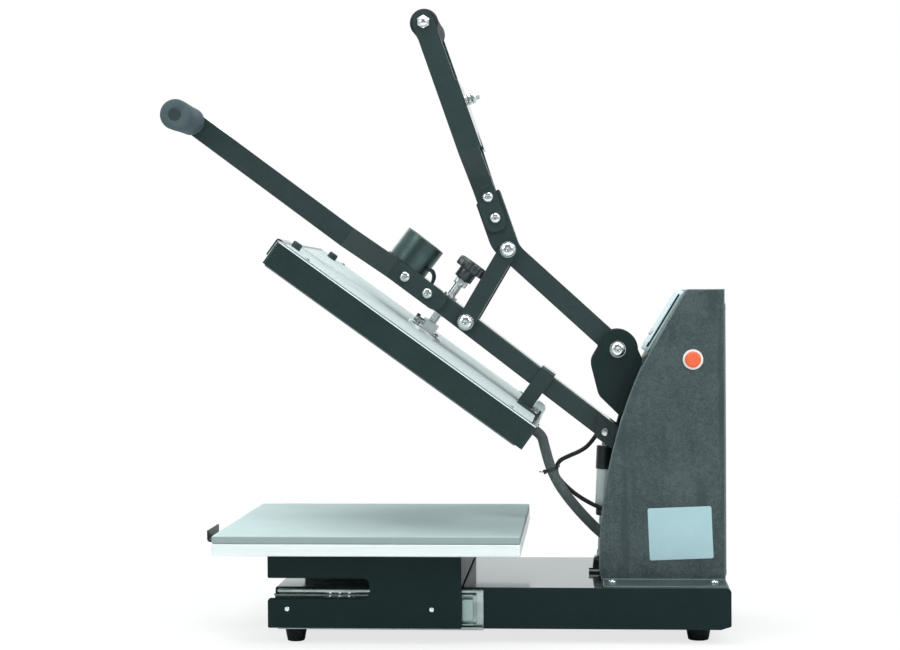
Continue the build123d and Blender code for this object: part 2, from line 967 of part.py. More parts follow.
def pivot_pins():
    upper = through_bolt(pivot_a, frame_out, pin_a_r, 10.5, 7)
    lower = through_bolt(pivot_b, frame_out, pin_b_r, 12, 7, low_head)
    return group(upper, lower)


def gas_spring_bracket():
    """A folded saddle on the base that holds the lower spring pin."""
    x, z = spring_anchor
    low = base_top_z
    leaf = saddle_leaf
    mid = low + leaf + saddle_open
    high = mid + leaf
    points = [
        (x - saddle_front, low),
        (x + saddle_rear, low),
        (x + saddle_rear, high),
        (x - saddle_front, high),
        (x - saddle_front, mid),
        (x + saddle_rear - leaf, mid),
        (x + saddle_rear - leaf, low + leaf),
        (x - saddle_front, low + leaf),
    ]
    bend = leaf - 0.1
    saddle = plate(outline(points, [0, bend, bend, 0, 0, 0, 0, 0]), -saddle_half, saddle_half)
    ear_in = spring_eye_width / 2 + side_clearance
    ear_out = ear_in + ear_t
    ear = outline([(x - 9, high), (x + 9, high), (x + 7, z + 7), (x - 7, z + 7)], [0, 0, 6, 6])
    ears = plate(ear, ear_in, ear_out) + plate(ear, -ear_out, -ear_in)
    pin = through_bolt(spring_anchor, ear_out, spring_pin_r, 6, 3, low_head)
    hole = rod_y(spring_anchor, -ear_out, ear_out, spring_pin_r)
    return group(saddle + ears - hole, pin)


# Controls


panel_slope = degrees(atan2(column_top - column_shoulder, column_crest_x - column_shoulder_x))
panel_run = (column_top - column_shoulder) / sin(radians(panel_slope))
panel_place = (
    Pos(column_shoulder_x, 0, bed_top_z + column_shoulder)
    * Rot(0, 90 - panel_slope, 0)
    * Pos(0, 0, panel_run / 2 + panel_up)
)


def panel_block(x0, x1, half_y, z0, z1):
    """A box in panel measure: X out of the sloping front is negative, Z up the slope."""
    return panel_place * block(x0, x1, -half_y, half_y, z0, z1)


def panel_window():
    margin = panel_hole_margin
    half = panel_width / 2 - margin
    return panel_block(-2, 6, half, margin - panel_length / 2, panel_length / 2 - margin)


def flat_box(x0, x1, inset):
    """A box as large as the panel less an inset, in panel measure."""
    half = panel_width / 2 - inset
    long_half = panel_length / 2 - inset
    return block(x0, x1, -half, half, -long_half, long_half)


def control_bezel():
    frame = flat_box(-panel_depth, 0, 0)
    frame = fillet(frame.edges().filter_by(Axis.X), panel_corner_r)
    frame = chamfer(frame.faces().sort_by(Axis.X)[0].edges(), 1.2)
    tray = flat_box(-panel_depth - 1, overlay_t - panel_depth, panel_rim)
    well = flat_box(overlay_t - panel_depth, 1, panel_ledge)
    return panel_place * (frame - tray - well)


def display_panel():
    """Pale overlay with a display window and holes for the keys."""
    sheet = flat_box(-panel_depth, overlay_t - panel_depth, panel_rim)
    half = display_half
    sheet -= block(-panel_depth - 1, 0, -half, half, display_low, display_high)
    glass = block(-panel_depth, glass_t - panel_depth, -half, half, display_low, display_high)
    for n in (-1, 0, 1):
        sheet -= key_rod(n, -panel_depth - 1, 0, key_r + key_hole_gap)
    return group(panel_place * sheet, panel_place * glass)


def key_rod(n, x0, x1, r):
    return Pos((x0 + x1) / 2, n * key_spacing, -key_drop) * Rot(0, 90, 0) * Cylinder(r, x1 - x0)


def key_cap(n):
    """One push key of the panel, its top rounded."""
    cap = key_rod(n, -panel_depth - key_height, key_depth - panel_depth, key_r)
    return panel_place * chamfer(cap.faces().sort_by(Axis.X)[0].edges(), 0.8)


def control_electronics():
    """Controller board behind the display and the heater relay on the back panel."""
    board_x = board_depth - panel_depth
    half = panel_width / 2 - 20
    long_half = panel_length / 2 - 18
    inner = block(board_x, board_x + board_t, -half, half, -long_half, long_half)
    for n in (-1, 0, 1):
        inner += key_rod(n, board_x - 0.8, board_x, 3)
    post = block(overlay_t - panel_depth, board_x, half - 5, half - 2, long_half - 6, long_half - 3)
    inner = inner + post + mirror(post, Plane.XZ)
    relay_z = bed_top_z + 70
    relay = block(column_rear_x - 26, column_rear_x, -22, 22, relay_z, relay_z + 58)
    relay += block(column_rear_x - 32, column_rear_x - 26, -16, 16, relay_z + 6, relay_z + 14)
    return group(panel_place * inner, relay)


def inlet_block(x0, x1, width, z0, height, more):
    """A box on the rear sheet, larger all round than a width and a height."""
    half = width / 2 + more
    return block(cover_skin_x + x0, cover_skin_x + x1, -half, half, z0 - more, z0 + height + more)


def power_inlet():
    """The socket of a detachable lead with its three pins, and the rocker's surround."""
    body = inlet_block(-inlet_depth, 0, inlet_width, inlet_z0, inlet_height, 0)
    half = inlet_width / 2 + inlet_ear
    top = inlet_z0 + inlet_height + inlet_rim
    body += block(cover_skin_x, cover_skin_x + inlet_face_t, -half, half, inlet_z0 - inlet_rim, top)
    body -= inlet_block(-inlet_well, 2, inlet_width, inlet_z0, inlet_height, -inlet_wall)
    middle = inlet_z0 + inlet_height / 2
    x0 = cover_skin_x - inlet_well - 1
    for y, z in ((-pin_side, middle - 1), (pin_side, middle - 1), (0, middle + pin_lift)):
        body += block(x0, x0 + pin_reach, y - pin_half, y + pin_half, z - 1, z + 1)
    face = inlet_face_t
    surround = inlet_block(-rocker_depth, face, rocker_width, rocker_z0, rocker_height, rocker_wall)
    surround -= inlet_block(-rocker_bore, 2, rocker_width, rocker_z0, rocker_height, panel_fit)
    return group(body, surround)


def power_rocker():
    """A rocker that stands pressed at its upper end."""
    x, z = rocker_pivot
    half = rocker_height / 2 - 0.9
    points = [
        (x - 4, z - half + 2),
        (x + 3, z - half),
        (x + 1.6, z),
        (x + 3, z + half),
        (x - 4, z + half - 2),
    ]
    body = plate(outline(points, [1, 0.5, 8, 0.5, 1]), -rocker_width / 2, rocker_width / 2)
    return about(rocker_pivot, -rocker_rest) * body


def button_hole():
    return rod_y(button_point, -column_side - 1, 0, button_ring_r - button_wall)


def button_ring():
    """The flange outside the cover, the barrel through it and the nut within."""
    y = -column_side
    flange = rod_y(button_point, y - button_flange, y, button_ring_r)
    barrel = rod_y(button_point, y, y + button_depth, button_ring_r - button_wall)
    inside = y + column_wall
    nut = rod_y(button_point, inside, inside + button_nut_t, button_ring_r + 1)
    bore = rod_y(button_point, y - button_flange - 1, y + button_bore, button_r)
    return flange + barrel + nut - bore


def button_cap():
    cap = rod_y(button_point, -column_side - button_proud, 12 - column_side, button_r - button_gap)
    return chamfer(cap.faces().sort_by(Axis.Y)[0].edges(), 1.5)


# Lower arm


def arm_tube():
    """The main tube, closed by a plate in front and slotted where the gas spring enters."""
    wall = 2 * tube_wall
    section = RectangleRounded(tube_width, tube_height, tube_corner_r)
    hollow = section - RectangleRounded(tube_width - wall, tube_height - wall, 1)
    front = Plane(origin=(-tube_front, 0, 0), x_dir=(0, 1, 0), z_dir=(1, 0, 0))
    tube = extrude(front * hollow, tube_front + tube_rear) + extrude(front * section, tube_wall)
    tube = tube_place * tube
    mid = tube_line(screw_x)
    tube -= arm_swing * rod_z(screw_x, 0, mid - tube_height, mid + tube_height, nut_sleeve_r)
    for x in lever_bolt_x:
        tube -= arm_swing * rod_y((x, lever_line(x)), -tube_side - 1, 0, lever_bolt_r)
    tube -= magnet_place() * rod_z(0, 0, 0, tube_height, magnet_stud_r)
    pin_gap = block(-22, 30, -spring_slot, spring_slot, -40, 12)
    return tube - arm_swing * Pos(spring_pin[0] + 8, 0, spring_pin[1] - 8) * pin_gap


def magnet_place():
    """On the tube's middle line under the magnet, square to the tube."""
    return arm_swing * Pos(magnet_x, 0, tube_line(magnet_x)) * Rot(0, tube_tilt, 0)


def cheek_face():
    bx, bz = pivot_b
    top = bed_top_z + cheek_top_rise
    low = top - cheek_height
    flat = outline(
        [
            (cheek_front_x, top),
            (cheek_front_x + cheek_slant, low),
            (bx - 34, low),
            (bx, bz - 15.5),
            (bx + 4, bz + 15),
            (bx - 30, top),
        ],
        [3, 3, 10, 1, 1, 10],
    )
    return flat + Pos(bx, bz) * Circle(cheek_eye_r)


def arm_cheeks():
    face = cheek_face()
    bore = rod_y(pivot_b, -frame_in, frame_in, pin_b_r + pivot_tube_wall)
    hole = rod_y(spring_pin, -frame_in, frame_in, spring_pin_r)
    cheeks = plate(face, tube_side, tube_side + cheek_t)
    cheeks = pair(cheeks - bore - hole)
    length = frame_in - side_clearance
    sleeve = rod_y(pivot_b, -length, length, pin_b_r + pivot_tube_wall)
    sleeve -= rod_y(pivot_b, -length, length, pin_b_r + running_clearance)
    return group(arm_swing * cheeks, arm_swing * sleeve)


def lever_line(x):
    """Height of the lever's middle line at an X when closed."""
    return bed_top_z + lever_rise - (x - lever_bolt_x[1]) * tan(radians(lever_tilt))


def joggled_bar(path, face, z_low, z_high):
    """A flat bar bent sideways along a plan path and cut to a side-view face."""
    strip = extrude(Pos(0, 0, z_low) * trace(Polyline(*path), line_width=flat_t), z_high - z_low)
    y_values = [point[1] for point in path]
    return strip & plate(face, min(y_values) - flat_t, max(y_values) + flat_t)


def slot_face(start, end, width):
    middle = ((start[0] + end[0]) / 2, (start[1] + end[1]) / 2)
    slot = SlotCenterToCenter(distance(start, end), width)
    return Pos(*middle) * Rot(0, 0, angle_of(start, end)) * slot


def lever_bar():
    inner = -tube_side - flat_t / 2
    end_x = lever_bolt_x[1] + 12
    path = [
        (end_x + 20, inner),
        (lever_bend_rear_x, inner),
        (lever_bend_front_x, -lever_out),
        (lever_grip_x - 20, -lever_out),
    ]
    start = (lever_grip_x, lever_line(lever_grip_x))
    end = (end_x, lever_line(end_x))
    bar = joggled_bar(path, slot_face(start, end, lever_width), start[1] - 40, start[1] + 30)
    for x in lever_bolt_x:
        bar -= rod_y((x, lever_line(x)), -tube_side - flat_t - 1, 0, lever_bolt_r)
    bar -= rod_y(start, -lever_out - flat_t, flat_t - lever_out, lever_rod_r)
    return arm_swing * bar


def lever_rod():
    point = (lever_grip_x, lever_line(lever_grip_x))
    rod = rod_y(point, -lever_grip_end - 0.4, flat_t / 2 - lever_out + 2, lever_rod_r)
    return arm_swing * chamfer(rod.faces().sort_by(Axis.Y)[0].edges(), 0.8)


def lever_grip():
    point = (lever_grip_x, lever_line(lever_grip_x))
    inner = -lever_out - flat_t / 2 - 0.1
    grip = rod_y(point, -lever_grip_end, inner, lever_grip_r)
    grip = chamfer(grip.edges().filter_by(GeomType.CIRCLE), 2)
    return arm_swing * (grip - rod_y(point, -lever_grip_end - 1, inner + 1, lever_rod_r))


def arm_bolts():
    """Lever bolts, and the cross pin that the gas spring pushes."""
    bolts = []
    y_in = tube_side - tube_wall - 10
    y_out = tube_side + flat_t
    for x in lever_bolt_x:
        point = (x, lever_line(x))
        bolts.append(side_bolt(point, y_in, y_out, lever_bolt_r, side_head_r, side_head_height))
    half = tube_side + cheek_t
    rim = cheek_play * 0.7
    pin = rod_y(spring_pin, -half, half, spring_pin_r)
    pin += rod_y(spring_pin, -half - rim, -half, 5) + rod_y(spring_pin, half, half + rim, 5)
    return arm_swing * group(*bolts, pin)


def electromagnet():
    """Round holding magnet on the tube, its coil ring sunk in the top."""
    low = tube_height / 2
    top = bed_top_z + magnet_top_rise - tube_line(magnet_x)
    inside = low - tube_wall
    body = rod_z(0, 0, low, top, magnet_r)
    body = chamfer(body.edges().group_by(Axis.Z)[-1], 0.8)
    groove = top - magnet_groove
    coil = rod_z(0, 0, groove, top, magnet_r - magnet_outer_ring)
    body -= coil - rod_z(0, 0, groove, top, magnet_r - magnet_inner_ring)
    stud = rod_z(0, 0, inside - 5.5, low, magnet_stud_r)
    nut = hex_z(0, 0, inside - 5.5, inside, 7.5)
    return magnet_place() * (body + stud + nut)


def pressure_nut():
    """Threaded sleeve welded through the tube."""
    mid = tube_line(screw_x)
    half = tube_height / 2
    sleeve = rod_z(screw_x, 0, mid - half - 1.5, mid + half + 2.5, nut_sleeve_r)
    bore = rod_z(screw_x, 0, mid - tube_height, mid + tube_height, screw_r + running_clearance)
    return arm_swing * (sleeve - bore)


# Heated platen


def level_slab(mid_x, half_x, half_y, z0, z1):
    """A level slab about the middle plane."""
    return block(mid_x - half_x, mid_x + half_x, -half_y, half_y, z0, z1)


def heat_plate():
    half = bed_size / 2 - heat_plate_inset
    slab = level_slab(platen_mid_x, half, half, platen_low_z, platen_low_z + heat_plate_t)
    slab = fillet(slab.edges().filter_by(Axis.Z), 3)
    slab = chamfer(slab.faces().sort_by(Axis.Z)[0].edges(), 0.8)
    return arm_swing * (slab - element_path(element_r))


def element_path(r):
    """The heater: one tube of six flats, laid to and fro in the top of the plate."""
    half = bed_size / 2 - heat_plate_inset - element_margin
    pitch = 2 * half / (element_passes - 1)
    route = []
    for n in range(element_passes):
        side = 1 if n % 2 else -1
        route.append((-side * half, n * pitch - half))
        route.append((side * half, n * pitch - half))
    level = Pos(platen_mid_x, 0, platen_low_z + heat_plate_t)
    path = level * FilletPolyline(*route, radius=pitch * 0.48)
    start = Plane(origin=path @ 0, z_dir=path % 0)
    return sweep(start * RegularPolygon(r, 6), path=path)


def heating_element():
    return arm_swing * element_path(element_r - element_play)


def insulation_blanket():
    half = bed_size / 2 - insulation_inset
    ridge = (element_r - element_play) * cos(radians(30))
    low = platen_low_z + heat_plate_t + ridge + blanket_gap
    return arm_swing * level_slab(platen_mid_x, half, half, low, low + insulation_t)


def platen_cover():
    """Folded black cover round the plate, with a rim turned in at the top."""
    long_half = cover_length / 2
    half = bed_size / 2
    shell = level_slab(cover_mid_x, long_half, half, cover_low_z, cover_top_z)
    shell = fillet(shell.edges().filter_by(Axis.Z), 4)
    shell = chamfer(shell.faces().sort_by(Axis.Z)[-1].edges(), 1)
    t = cover_t
    shell -= level_slab(cover_mid_x, long_half - t, half - t, cover_low_z - 1, cover_top_z - t)
    rim = cover_rim
    shell -= level_slab(cover_mid_x, long_half - rim, half - rim, cover_top_z - 5, cover_top_z + 1)
    hole = Pos(cover_rear_x, gland_y, gland_z) * Rot(0, 90, 0) * Cylinder(gland_r + gland_hole_gap, 10)
    return arm_swing * (shell - hole)


def top_sheet():
    inset = top_sheet_inset
    long_half = cover_length / 2 - inset
    half = bed_size / 2 - inset
    sheet = level_slab(cover_mid_x, long_half, half, cover_top_z, top_sheet_z)
    return arm_swing * fillet(sheet.edges().filter_by(Axis.Z), 6)


def front_guard():
    """A bent sheet guard on the front face of the cover."""
    x0 = cover_front_x
    tip = x0 - guard_reach
    high = cover_top_z - guard_drop
    low = platen_low_z + guard_floor_gap
    points = [
        (x0, high - guard_leg),
        (x0, high),
        (tip, high),
        (tip, low),
        (tip + sheet_t, low),
        (tip + sheet_t, high - sheet_t),
        (x0 - sheet_t, high - sheet_t),
        (x0 - sheet_t, high - guard_leg),
    ]
    outer = 2 * sheet_t
    face = outline(points, [0, 0, outer, 0, 0, sheet_t, sheet_t, 0])
    return arm_swing * plate(face, -guard_half_width, guard_half_width)


def rubber_caps():
    """Two rubber buffers on the top sheet, as the photograph shows them."""
    caps = []
    for from_front, y in (near_cap, far_cap):
        x = cover_front_x + top_sheet_inset + cap_r + from_front - near_cap[0]
        cap = rod_z(x, y, top_sheet_z, top_sheet_z + cap_height, cap_r)
        caps.append(chamfer(cap.edges().group_by(Axis.Z)[-1], 1.2))
    return arm_swing * group(*caps)


def yoke_strap():
    """A strap over the tube that hangs the platen and keeps it square."""
    top = tube_line(yoke_x) + tube_height / 2 + yoke_top_gap
    inner = tube_side + yoke_gap
    outer = inner + yoke_t
    x0 = yoke_x
    x1 = yoke_x + yoke_length
    z = top_sheet_z
    hoop = block(x0, x1, -outer, outer, z, top + yoke_t)
    hoop = fillet(hoop.edges().filter_by(Axis.X).group_by(Axis.Z)[-1], 4)
    hoop -= block(x0 - 1, x1 + 1, -inner, inner, z - 1, top)
    foot = block(x0, x1 + yoke_foot_tail, outer, outer + yoke_foot, z, z + yoke_t)
    foot = fillet(foot.edges().filter_by(Axis.Z).sort_by(Axis.Y)[-2:], 3)
    hoop = hoop + foot + mirror(foot, Plane.XZ)
    return arm_swing * group(hoop, yoke_tab(x1 + 0.7, z))


def yoke_tab(x, z):
    """A small upright angle behind the strap, round at its top."""
    points = [
        (x, z),
        (x + tab_length, z),
        (x + tab_length, z + tab_height),
        (x, z + tab_height),
    ]
    upright = plate(outline(points, [0, 0, 8, 3]), tab_y - tab_t, tab_y)
    return upright + block(x, x + tab_length, tab_y, tab_y + tab_foot, z, z + tab_t)


def platen_fasteners():
    """Hexagon bolts of the yoke, screws of the socket flange and of the top sheet."""
    y = tube_side + yoke_gap + yoke_t + yoke_foot / 2
    x = yoke_x + yoke_length + yoke_foot_tail / 2
    z = top_sheet_z + yoke_t
    bolts = [hex_z(x, side * y, z, z + yoke_bolt_height, yoke_bolt_r) for side in (-1, 1)]
    r = socket_flange_r - 6
    for turn in range(4):
        a = radians(45 + 90 * turn)
        place = (screw_x + r * cos(a), r * sin(a))
        bolts.append(screw_head_z(*place, top_sheet_z + socket_flange_t, 3.5, 2.5))
    margin = top_sheet_inset + 7
    half_x = cover_length / 2 - margin - 25
    half_y = bed_size / 2 - margin
    for sx in (-1, 1):
        for sy in (-1, 1):
            bolts.append(screw_head_z(cover_mid_x + sx * half_x, sy * half_y, top_sheet_z, 3.2, 2))
    return arm_swing * group(*bolts)


def screw_socket():
    """Flange and hexagon block that hold the foot of the pressure screw."""
    low = top_sheet_z
    top = low + socket_flange_t
    flange = rod_z(screw_x, 0, low, top, socket_flange_r)
    flange = chamfer(flange.edges().group_by(Axis.Z)[-1], 1.2)
    body = hex_z(screw_x, 0, top - 0.5, top + socket_height, socket_hex_r)
    clamp = Pos(screw_x - socket_hex_r, 0, top + socket_clamp_rise) * Rot(0, 90, 0)
    shank = clamp * Pos(0, 0, -3) * Cylinder(socket_clamp_r, 14)
    head = clamp * Pos(0, 0, -7.5) * Cylinder(socket_clamp_head_r, 5)
    bore = rod_z(screw_x, 0, low + 2, top + socket_height + 1, screw_r + running_clearance)
    return arm_swing * (flange + body + shank + head - bore)


def cable_gland():
    """Gland in the rear of the cover, with its nut outside."""
    place = Pos(cover_rear_x, gland_y, gland_z) * Rot(0, 90, 0)
    inside = 4.0
    barrel = place * Pos(0, 0, (gland_out - inside) / 2) * Cylinder(gland_r, gland_out + inside)
    nut = place * extrude(RegularPolygon(gland_nut_r, 6), gland_nut_t)
    return arm_swing * (barrel + nut)


def adjusting_screw():
    """The threaded rod with its locknut under the knob."""
    low = top_sheet_z + 2.3
    knob_z = top_sheet_z + knob_rise
    rod = rod_z(screw_x, 0, low, knob_z + knob_hub_height, screw_r)
    nut_top = knob_z - locknut_gap
    nut = hex_z(screw_x, 0, nut_top - locknut_height, nut_top, locknut_r)
    return arm_swing * (rod + nut)


def star_knob():
    """Hand knob with rounded lobes on a hub with a set screw."""
    z0 = top_sheet_z + knob_rise
    z1 = z0 + knob_hub_height
    hub = rod_z(screw_x, 0, z0, z1, knob_hub_r)
    set_screw = Pos(screw_x, knob_hub_r, (z0 + z1) / 2) * Rot(90, 0, 0) * Cylinder(set_screw_r, 4)
    crown = Circle(knob_r - 3)
    for n in range(knob_lobes):
        crown += Rot(0, 0, 360 / knob_lobes * n) * Pos(knob_r - lobe_r, 0) * Circle(lobe_r)
    for n in range(knob_lobes):
        crown -= Rot(0, 0, 360 / knob_lobes * (n + 0.5)) * Pos(knob_r + 1.5, 0) * Circle(valley_r)
    head = Pos(screw_x, 0, z1) * extrude(crown, knob_height)
    bore = rod_z(screw_x, 0, z0 - 1, z1, screw_r)
    return arm_swing * (hub + set_screw + head - bore)


# Handle and toggle


def knee_face():
    """Bent flat of the knee: level ahead of the knee, sloping from there to its pivot."""
    ax, az = pivot_a
    slope = angle_of(knee_closed, pivot_a)
    c = cos(radians(slope))
    s = sin(radians(slope))
    half = knee_bar_width / 2
    low_z = knee_z - knee_fore_low
    high_z = knee_z + knee_fore_high
    low_bend_x = ax + half * s + (low_z - az + half * c) / tan(radians(slope))
    high_bend_x = ax - half * s + (high_z - az - half * c) / tan(radians(slope))
    fore_x = knee_x - knee_fore_length
    face = outline(
        [
            (fore_x, high_z),
            (fore_x + knee_end_slant, low_z),
            (low_bend_x, low_z),
            (ax + half * s, az - half * c),
            (ax - half * s, az + half * c),
            (high_bend_x, high_z),
        ],
        [2, 2, 40, 0, 0, 30],
    )
    return face + Pos(ax, az) * Circle(half)


def knee_plates():
    sleeve_r = pin_a_r + pivot_tube_wall
    body = plate(knee_face(), knee_in, knee_in + flat_t)
    body -= rod_y(pivot_a, knee_in - 1, bar_out, sleeve_r)
    body -= rod_y(knee_closed, knee_in - 1, bar_out, knee_pin_r)
    for point in bar_bolt_points:
        body -= rod_y(point, knee_in - 1, bar_out, bar_bolt_r)
    length = frame_in - side_clearance
    sleeve = rod_y(pivot_a, -length, length, sleeve_r)
    sleeve -= rod_y(pivot_a, -length, length, pin_a_r + running_clearance)
    return handle_swing * group(pair(body), sleeve)


def handle_bars():
    """Two joggled bars and the bridge that carries the armature."""
    inner = bar_in + flat_t / 2
    outer = grip_side + flat_t / 2
    start = (knee_x - grip_from_knee, bar_z)
    end = (knee_x - bar_end_from_knee, bar_z)
    path = [
        (end[0] + 20, inner),
        (knee_x - joggle_rear_from_knee, inner),
        (knee_x - joggle_front_from_knee, outer),
        (start[0] - 20, outer),
    ]
    bar = joggled_bar(path, slot_face(start, end, bar_width), bar_z - 20, bar_z + 20)
    for point in bar_bolt_points:
        bar -= rod_y(point, bar_in - 1, bar_out + 1, bar_bolt_r)
    bar -= rod_y(start, grip_side - 1, grip_side + flat_t + 1, grip_bolt_r)
    top = bar_z + bar_width / 2
    side = grip_side + flat_t
    x0 = knee_x - bridge_front_from_knee
    x1 = knee_x - bridge_rear_from_knee
    bridge = block(x0, x1, -side, side, top, top + bridge_t)
    bridge = fillet(bridge.edges().filter_by(Axis.Z), 3)
    bridge -= rod_z(screw_x, 0, top - 1, top + bridge_t + 1, knob_r + knob_room)
    bridge -= rod_z(magnet_x, 0, top - 1, top + bridge_t + 1, armature_bolt_r)
    return handle_swing * group(pair(bar), bridge)


def handle_grip():
    point = (knee_x - grip_from_knee, bar_z)
    half = grip_side - 0.3
    grip = rod_y(point, -half, half, grip_r)
    grip = chamfer(grip.edges().filter_by(GeomType.CIRCLE), 2)
    return handle_swing * (grip - rod_y(point, -half - 1, half + 1, grip_bolt_r))


def handle_bolts():
    """Grip bolt with its dome nuts, bar bolts and the knee bolt."""
    grip_point = (knee_x - grip_from_knee, bar_z)
    bolts = [through_bolt(grip_point, grip_side + flat_t, grip_bolt_r, 8.5, 8)]
    for point in bar_bolt_points:
        bolts.append(through_bolt(point, bar_out, bar_bolt_r, side_head_r, side_head_height, low_head))
    bolts.append(through_bolt(knee_closed, link_out + 0.4, knee_pin_r, 10.5, 7))
    spacer = rod_y(knee_closed, knee_in + flat_t, link_in - 0.3, 9.5)
    spacer -= rod_y(knee_closed, knee_in, link_out, knee_pin_r)
    return handle_swing * group(*bolts, pair(spacer))


def armature():
    """Steel disc that the magnet holds, hung from the bridge on a bolt with nuts."""
    x = magnet_x
    top = bar_z + bar_width / 2
    low = bed_top_z + magnet_top_rise + magnet_r * sin(radians(tube_tilt)) + armature_gap
    over = top + bridge_t
    disc = rod_z(x, 0, low, low + armature_t, armature_r)
    disc = chamfer(disc.edges().group_by(Axis.Z)[-1], 0.8)
    bolt = rod_z(x, 0, low + 1, over + armature_bolt_rise, armature_bolt_r)
    bolt = chamfer(bolt.edges().group_by(Axis.Z)[-1], 0.8)
    washer = rod_z(x, 0, over, over + 1.2, 7)
    nuts = hex_z(x, 0, over + 1.2, over + 6.2, 7) + hex_z(x, 0, over + 6.7, over + 11.7, 7)
    rubber = rod_z(x, 0, low + armature_t, top, 9)
    return handle_swing * (disc + bolt + washer + nuts + rubber)


def toggle_links():
    bar = strap(knee_closed, link_foot, link_width, link_in, link_out)
    bar -= rod_y(knee_closed, link_in - 1, link_out + 1, knee_pin_r + running_clearance)
    bar -= rod_y(link_foot, link_in - 1, link_out + 1, knee_pin_r)
    return link_swing * pair(bar)


def link_foot_bolts():
    """Stub bolts in the feet of the links; they stop short of the tube wall."""
    stub = rod_y(link_foot, tube_side + 0.3, link_out, knee_pin_r)
    stub += domed_head(link_foot, link_out, 1, 10.5, 7)
    return link_swing * pair(stub)


# Gas spring


def gas_spring_rod():
    """Drawn upright from the lower pin and then leaned."""
    half = spring_eye_width / 2
    eye = Rot(90, 0, 0) * Cylinder(spring_eye_r, 2 * half)
    bore = Rot(90, 0, 0) * Cylinder(spring_pin_r + running_clearance, 2 * half)
    neck = rod_z(0, 0, 5, 14, 4)
    rod = rod_z(0, 0, 6, rod_length, rod_r)
    return spring_place * (eye + neck + rod - bore)


def gas_spring_cylinder():
    """Cylinder with its black sleeve and end cap; the oversize upper eye clears the arm pin."""
    top = spring_open_length
    stroke = spring_open_length - spring_closed_length
    low = cylinder_start
    body = rod_z(0, 0, low, cylinder_end, cylinder_r)
    neck = rod_z(0, 0, cylinder_end - 1, top - 8, 4)
    eye = Pos(0, 0, top) * Rot(90, 0, 0) * Cylinder(upper_eye_r, spring_eye_width)
    hole = Pos(0, 0, top) * Rot(90, 0, 0) * Cylinder(spring_pin_r + upper_eye_play, spring_eye_width)
    cap = rod_z(0, 0, low - cylinder_cap_length, low, cylinder_cap_r)
    cap = chamfer(cap.edges().group_by(Axis.Z)[0], 1.2)
    bore = rod_z(0, 0, low - cylinder_cap_length - 1, rod_length + stroke + 2, rod_r + running_clearance)
    sleeve_low = cylinder_end - sleeve_length
    sleeve = rod_z(0, 0, sleeve_low, cylinder_end, sleeve_r)
    sleeve -= rod_z(0, 0, sleeve_low - 1, cylinder_end + 1, cylinder_r)
    return spring_place * group(body + neck + eye - hole - bore, sleeve, cap - bore)


# Cables


def corner_radii(route):
    """The largest arcs that the runs of a route leave room for."""
    radii = []
    for before, here, after in zip(route, route[1:], route[2:]):
        first = Vector(*here) - Vector(*before)
        second = Vector(*after) - Vector(*here)
        turn = radians(first.get_angle(second))
        radii.append(0.45 * min(first.length, second.length) / tan(turn / 2))
    return radii


def cable_tube(name, route, r):
    radii = corner_radii(route)
    path = FilletPolyline(*route, radius=radii)
    start = path % 0
    section = Plane(origin=path @ 0, z_dir=start) * Circle(r)
    tube = sweep(section, path=path)
    share = tube.volume / (pi * r ** 2 * path.length)
    print(name, "radii", [round(value, 1) for value in radii], "volume share", round(share, 4))
    return tube


def heater_conduit():
    return cable_tube("heater_conduit", conduit_route, conduit_r)


def magnet_cable():
    """The thin lead from the magnet, which runs on beside the conduit."""
    return cable_tube("magnet_cable", cable_route, cable_r)


nodes = {
    "base_box": base_box(),
    "feet": feet(),
    "slide_outer_members": slide_outer_members(),
    "column_cover": column_cover(),
    "back_panel": back_panel(),
    "cover_screws": cover_screws(),
    "frame_plates": frame_plates(),
    "frame_ties": frame_ties(),
    "pivot_pins": pivot_pins(),
    "gas_spring_bracket": gas_spring_bracket(),
    "control_bezel": control_bezel(),
    "display_panel": display_panel(),
    "control_electronics": control_electronics(),
    "power_inlet": power_inlet(),
    "power_rocker": power_rocker(),
    "button_ring": button_ring(),
    "button_cap": button_cap(),
    "panel_key_left": key_cap(1),
    "panel_key_middle": key_cap(0),
    "panel_key_right": key_cap(-1),
    "bed_plate": bed_plate(),
    "bed_pad": bed_pad(),
    "drawer_carriage": drawer_carriage(),
    "carriage_screws": carriage_screws(),
    "slide_inner_members": slide_inner_members(),
    "drawer_pull": drawer_pull(),
    "slide_middle_members": slide_middle_members(),
    "slide_balls": slide_balls(),
    "arm_tube": arm_tube(),
    "arm_cheeks": arm_cheeks(),
    "lever_bar": lever_bar(),
    "lever_rod": lever_rod(),
    "lever_grip": lever_grip(),
    "arm_bolts": arm_bolts(),
    "electromagnet": electromagnet(),
    "pressure_nut": pressure_nut(),
    "heat_plate": heat_plate(),
    "heating_element": heating_element(),
    "insulation_blanket": insulation_blanket(),
    "platen_cover": platen_cover(),
    "top_sheet": top_sheet(),
    "front_guard": front_guard(),
    "rubber_caps": rubber_caps(),
    "yoke_strap": yoke_strap(),
    "platen_fasteners": platen_fasteners(),
    "screw_socket": screw_socket(),
    "cable_gland": cable_gland(),
    "adjusting_screw": adjusting_screw(),
    "star_knob": star_knob(),
    "knee_plates": knee_plates(),
    "handle_bars": handle_bars(),
    "handle_grip": handle_grip(),
    "handle_bolts": handle_bolts(),
    "armature": armature(),
    "toggle_links": toggle_links(),
    "link_foot_bolts": link_foot_bolts(),
    "gas_spring_rod": gas_spring_rod(),
    "gas_spring_cylinder": gas_spring_cylinder(),
    "heater_conduit": heater_conduit(),
    "magnet_cable": magnet_cable(),
}

os.makedirs("parts", exist_ok=True)
for name, shape in nodes.items():
    export_step(shape, os.path.join("parts", name + ".step"))

print("arm opening", arm_opening, "handle opening", round(handle_opening, 4))
print("link opening", round(link_opening, 4), "knee", knee_open, "foot", foot_open)
print("spring lengths", round(spring_open_length, 3), round(spring_closed_length, 3))
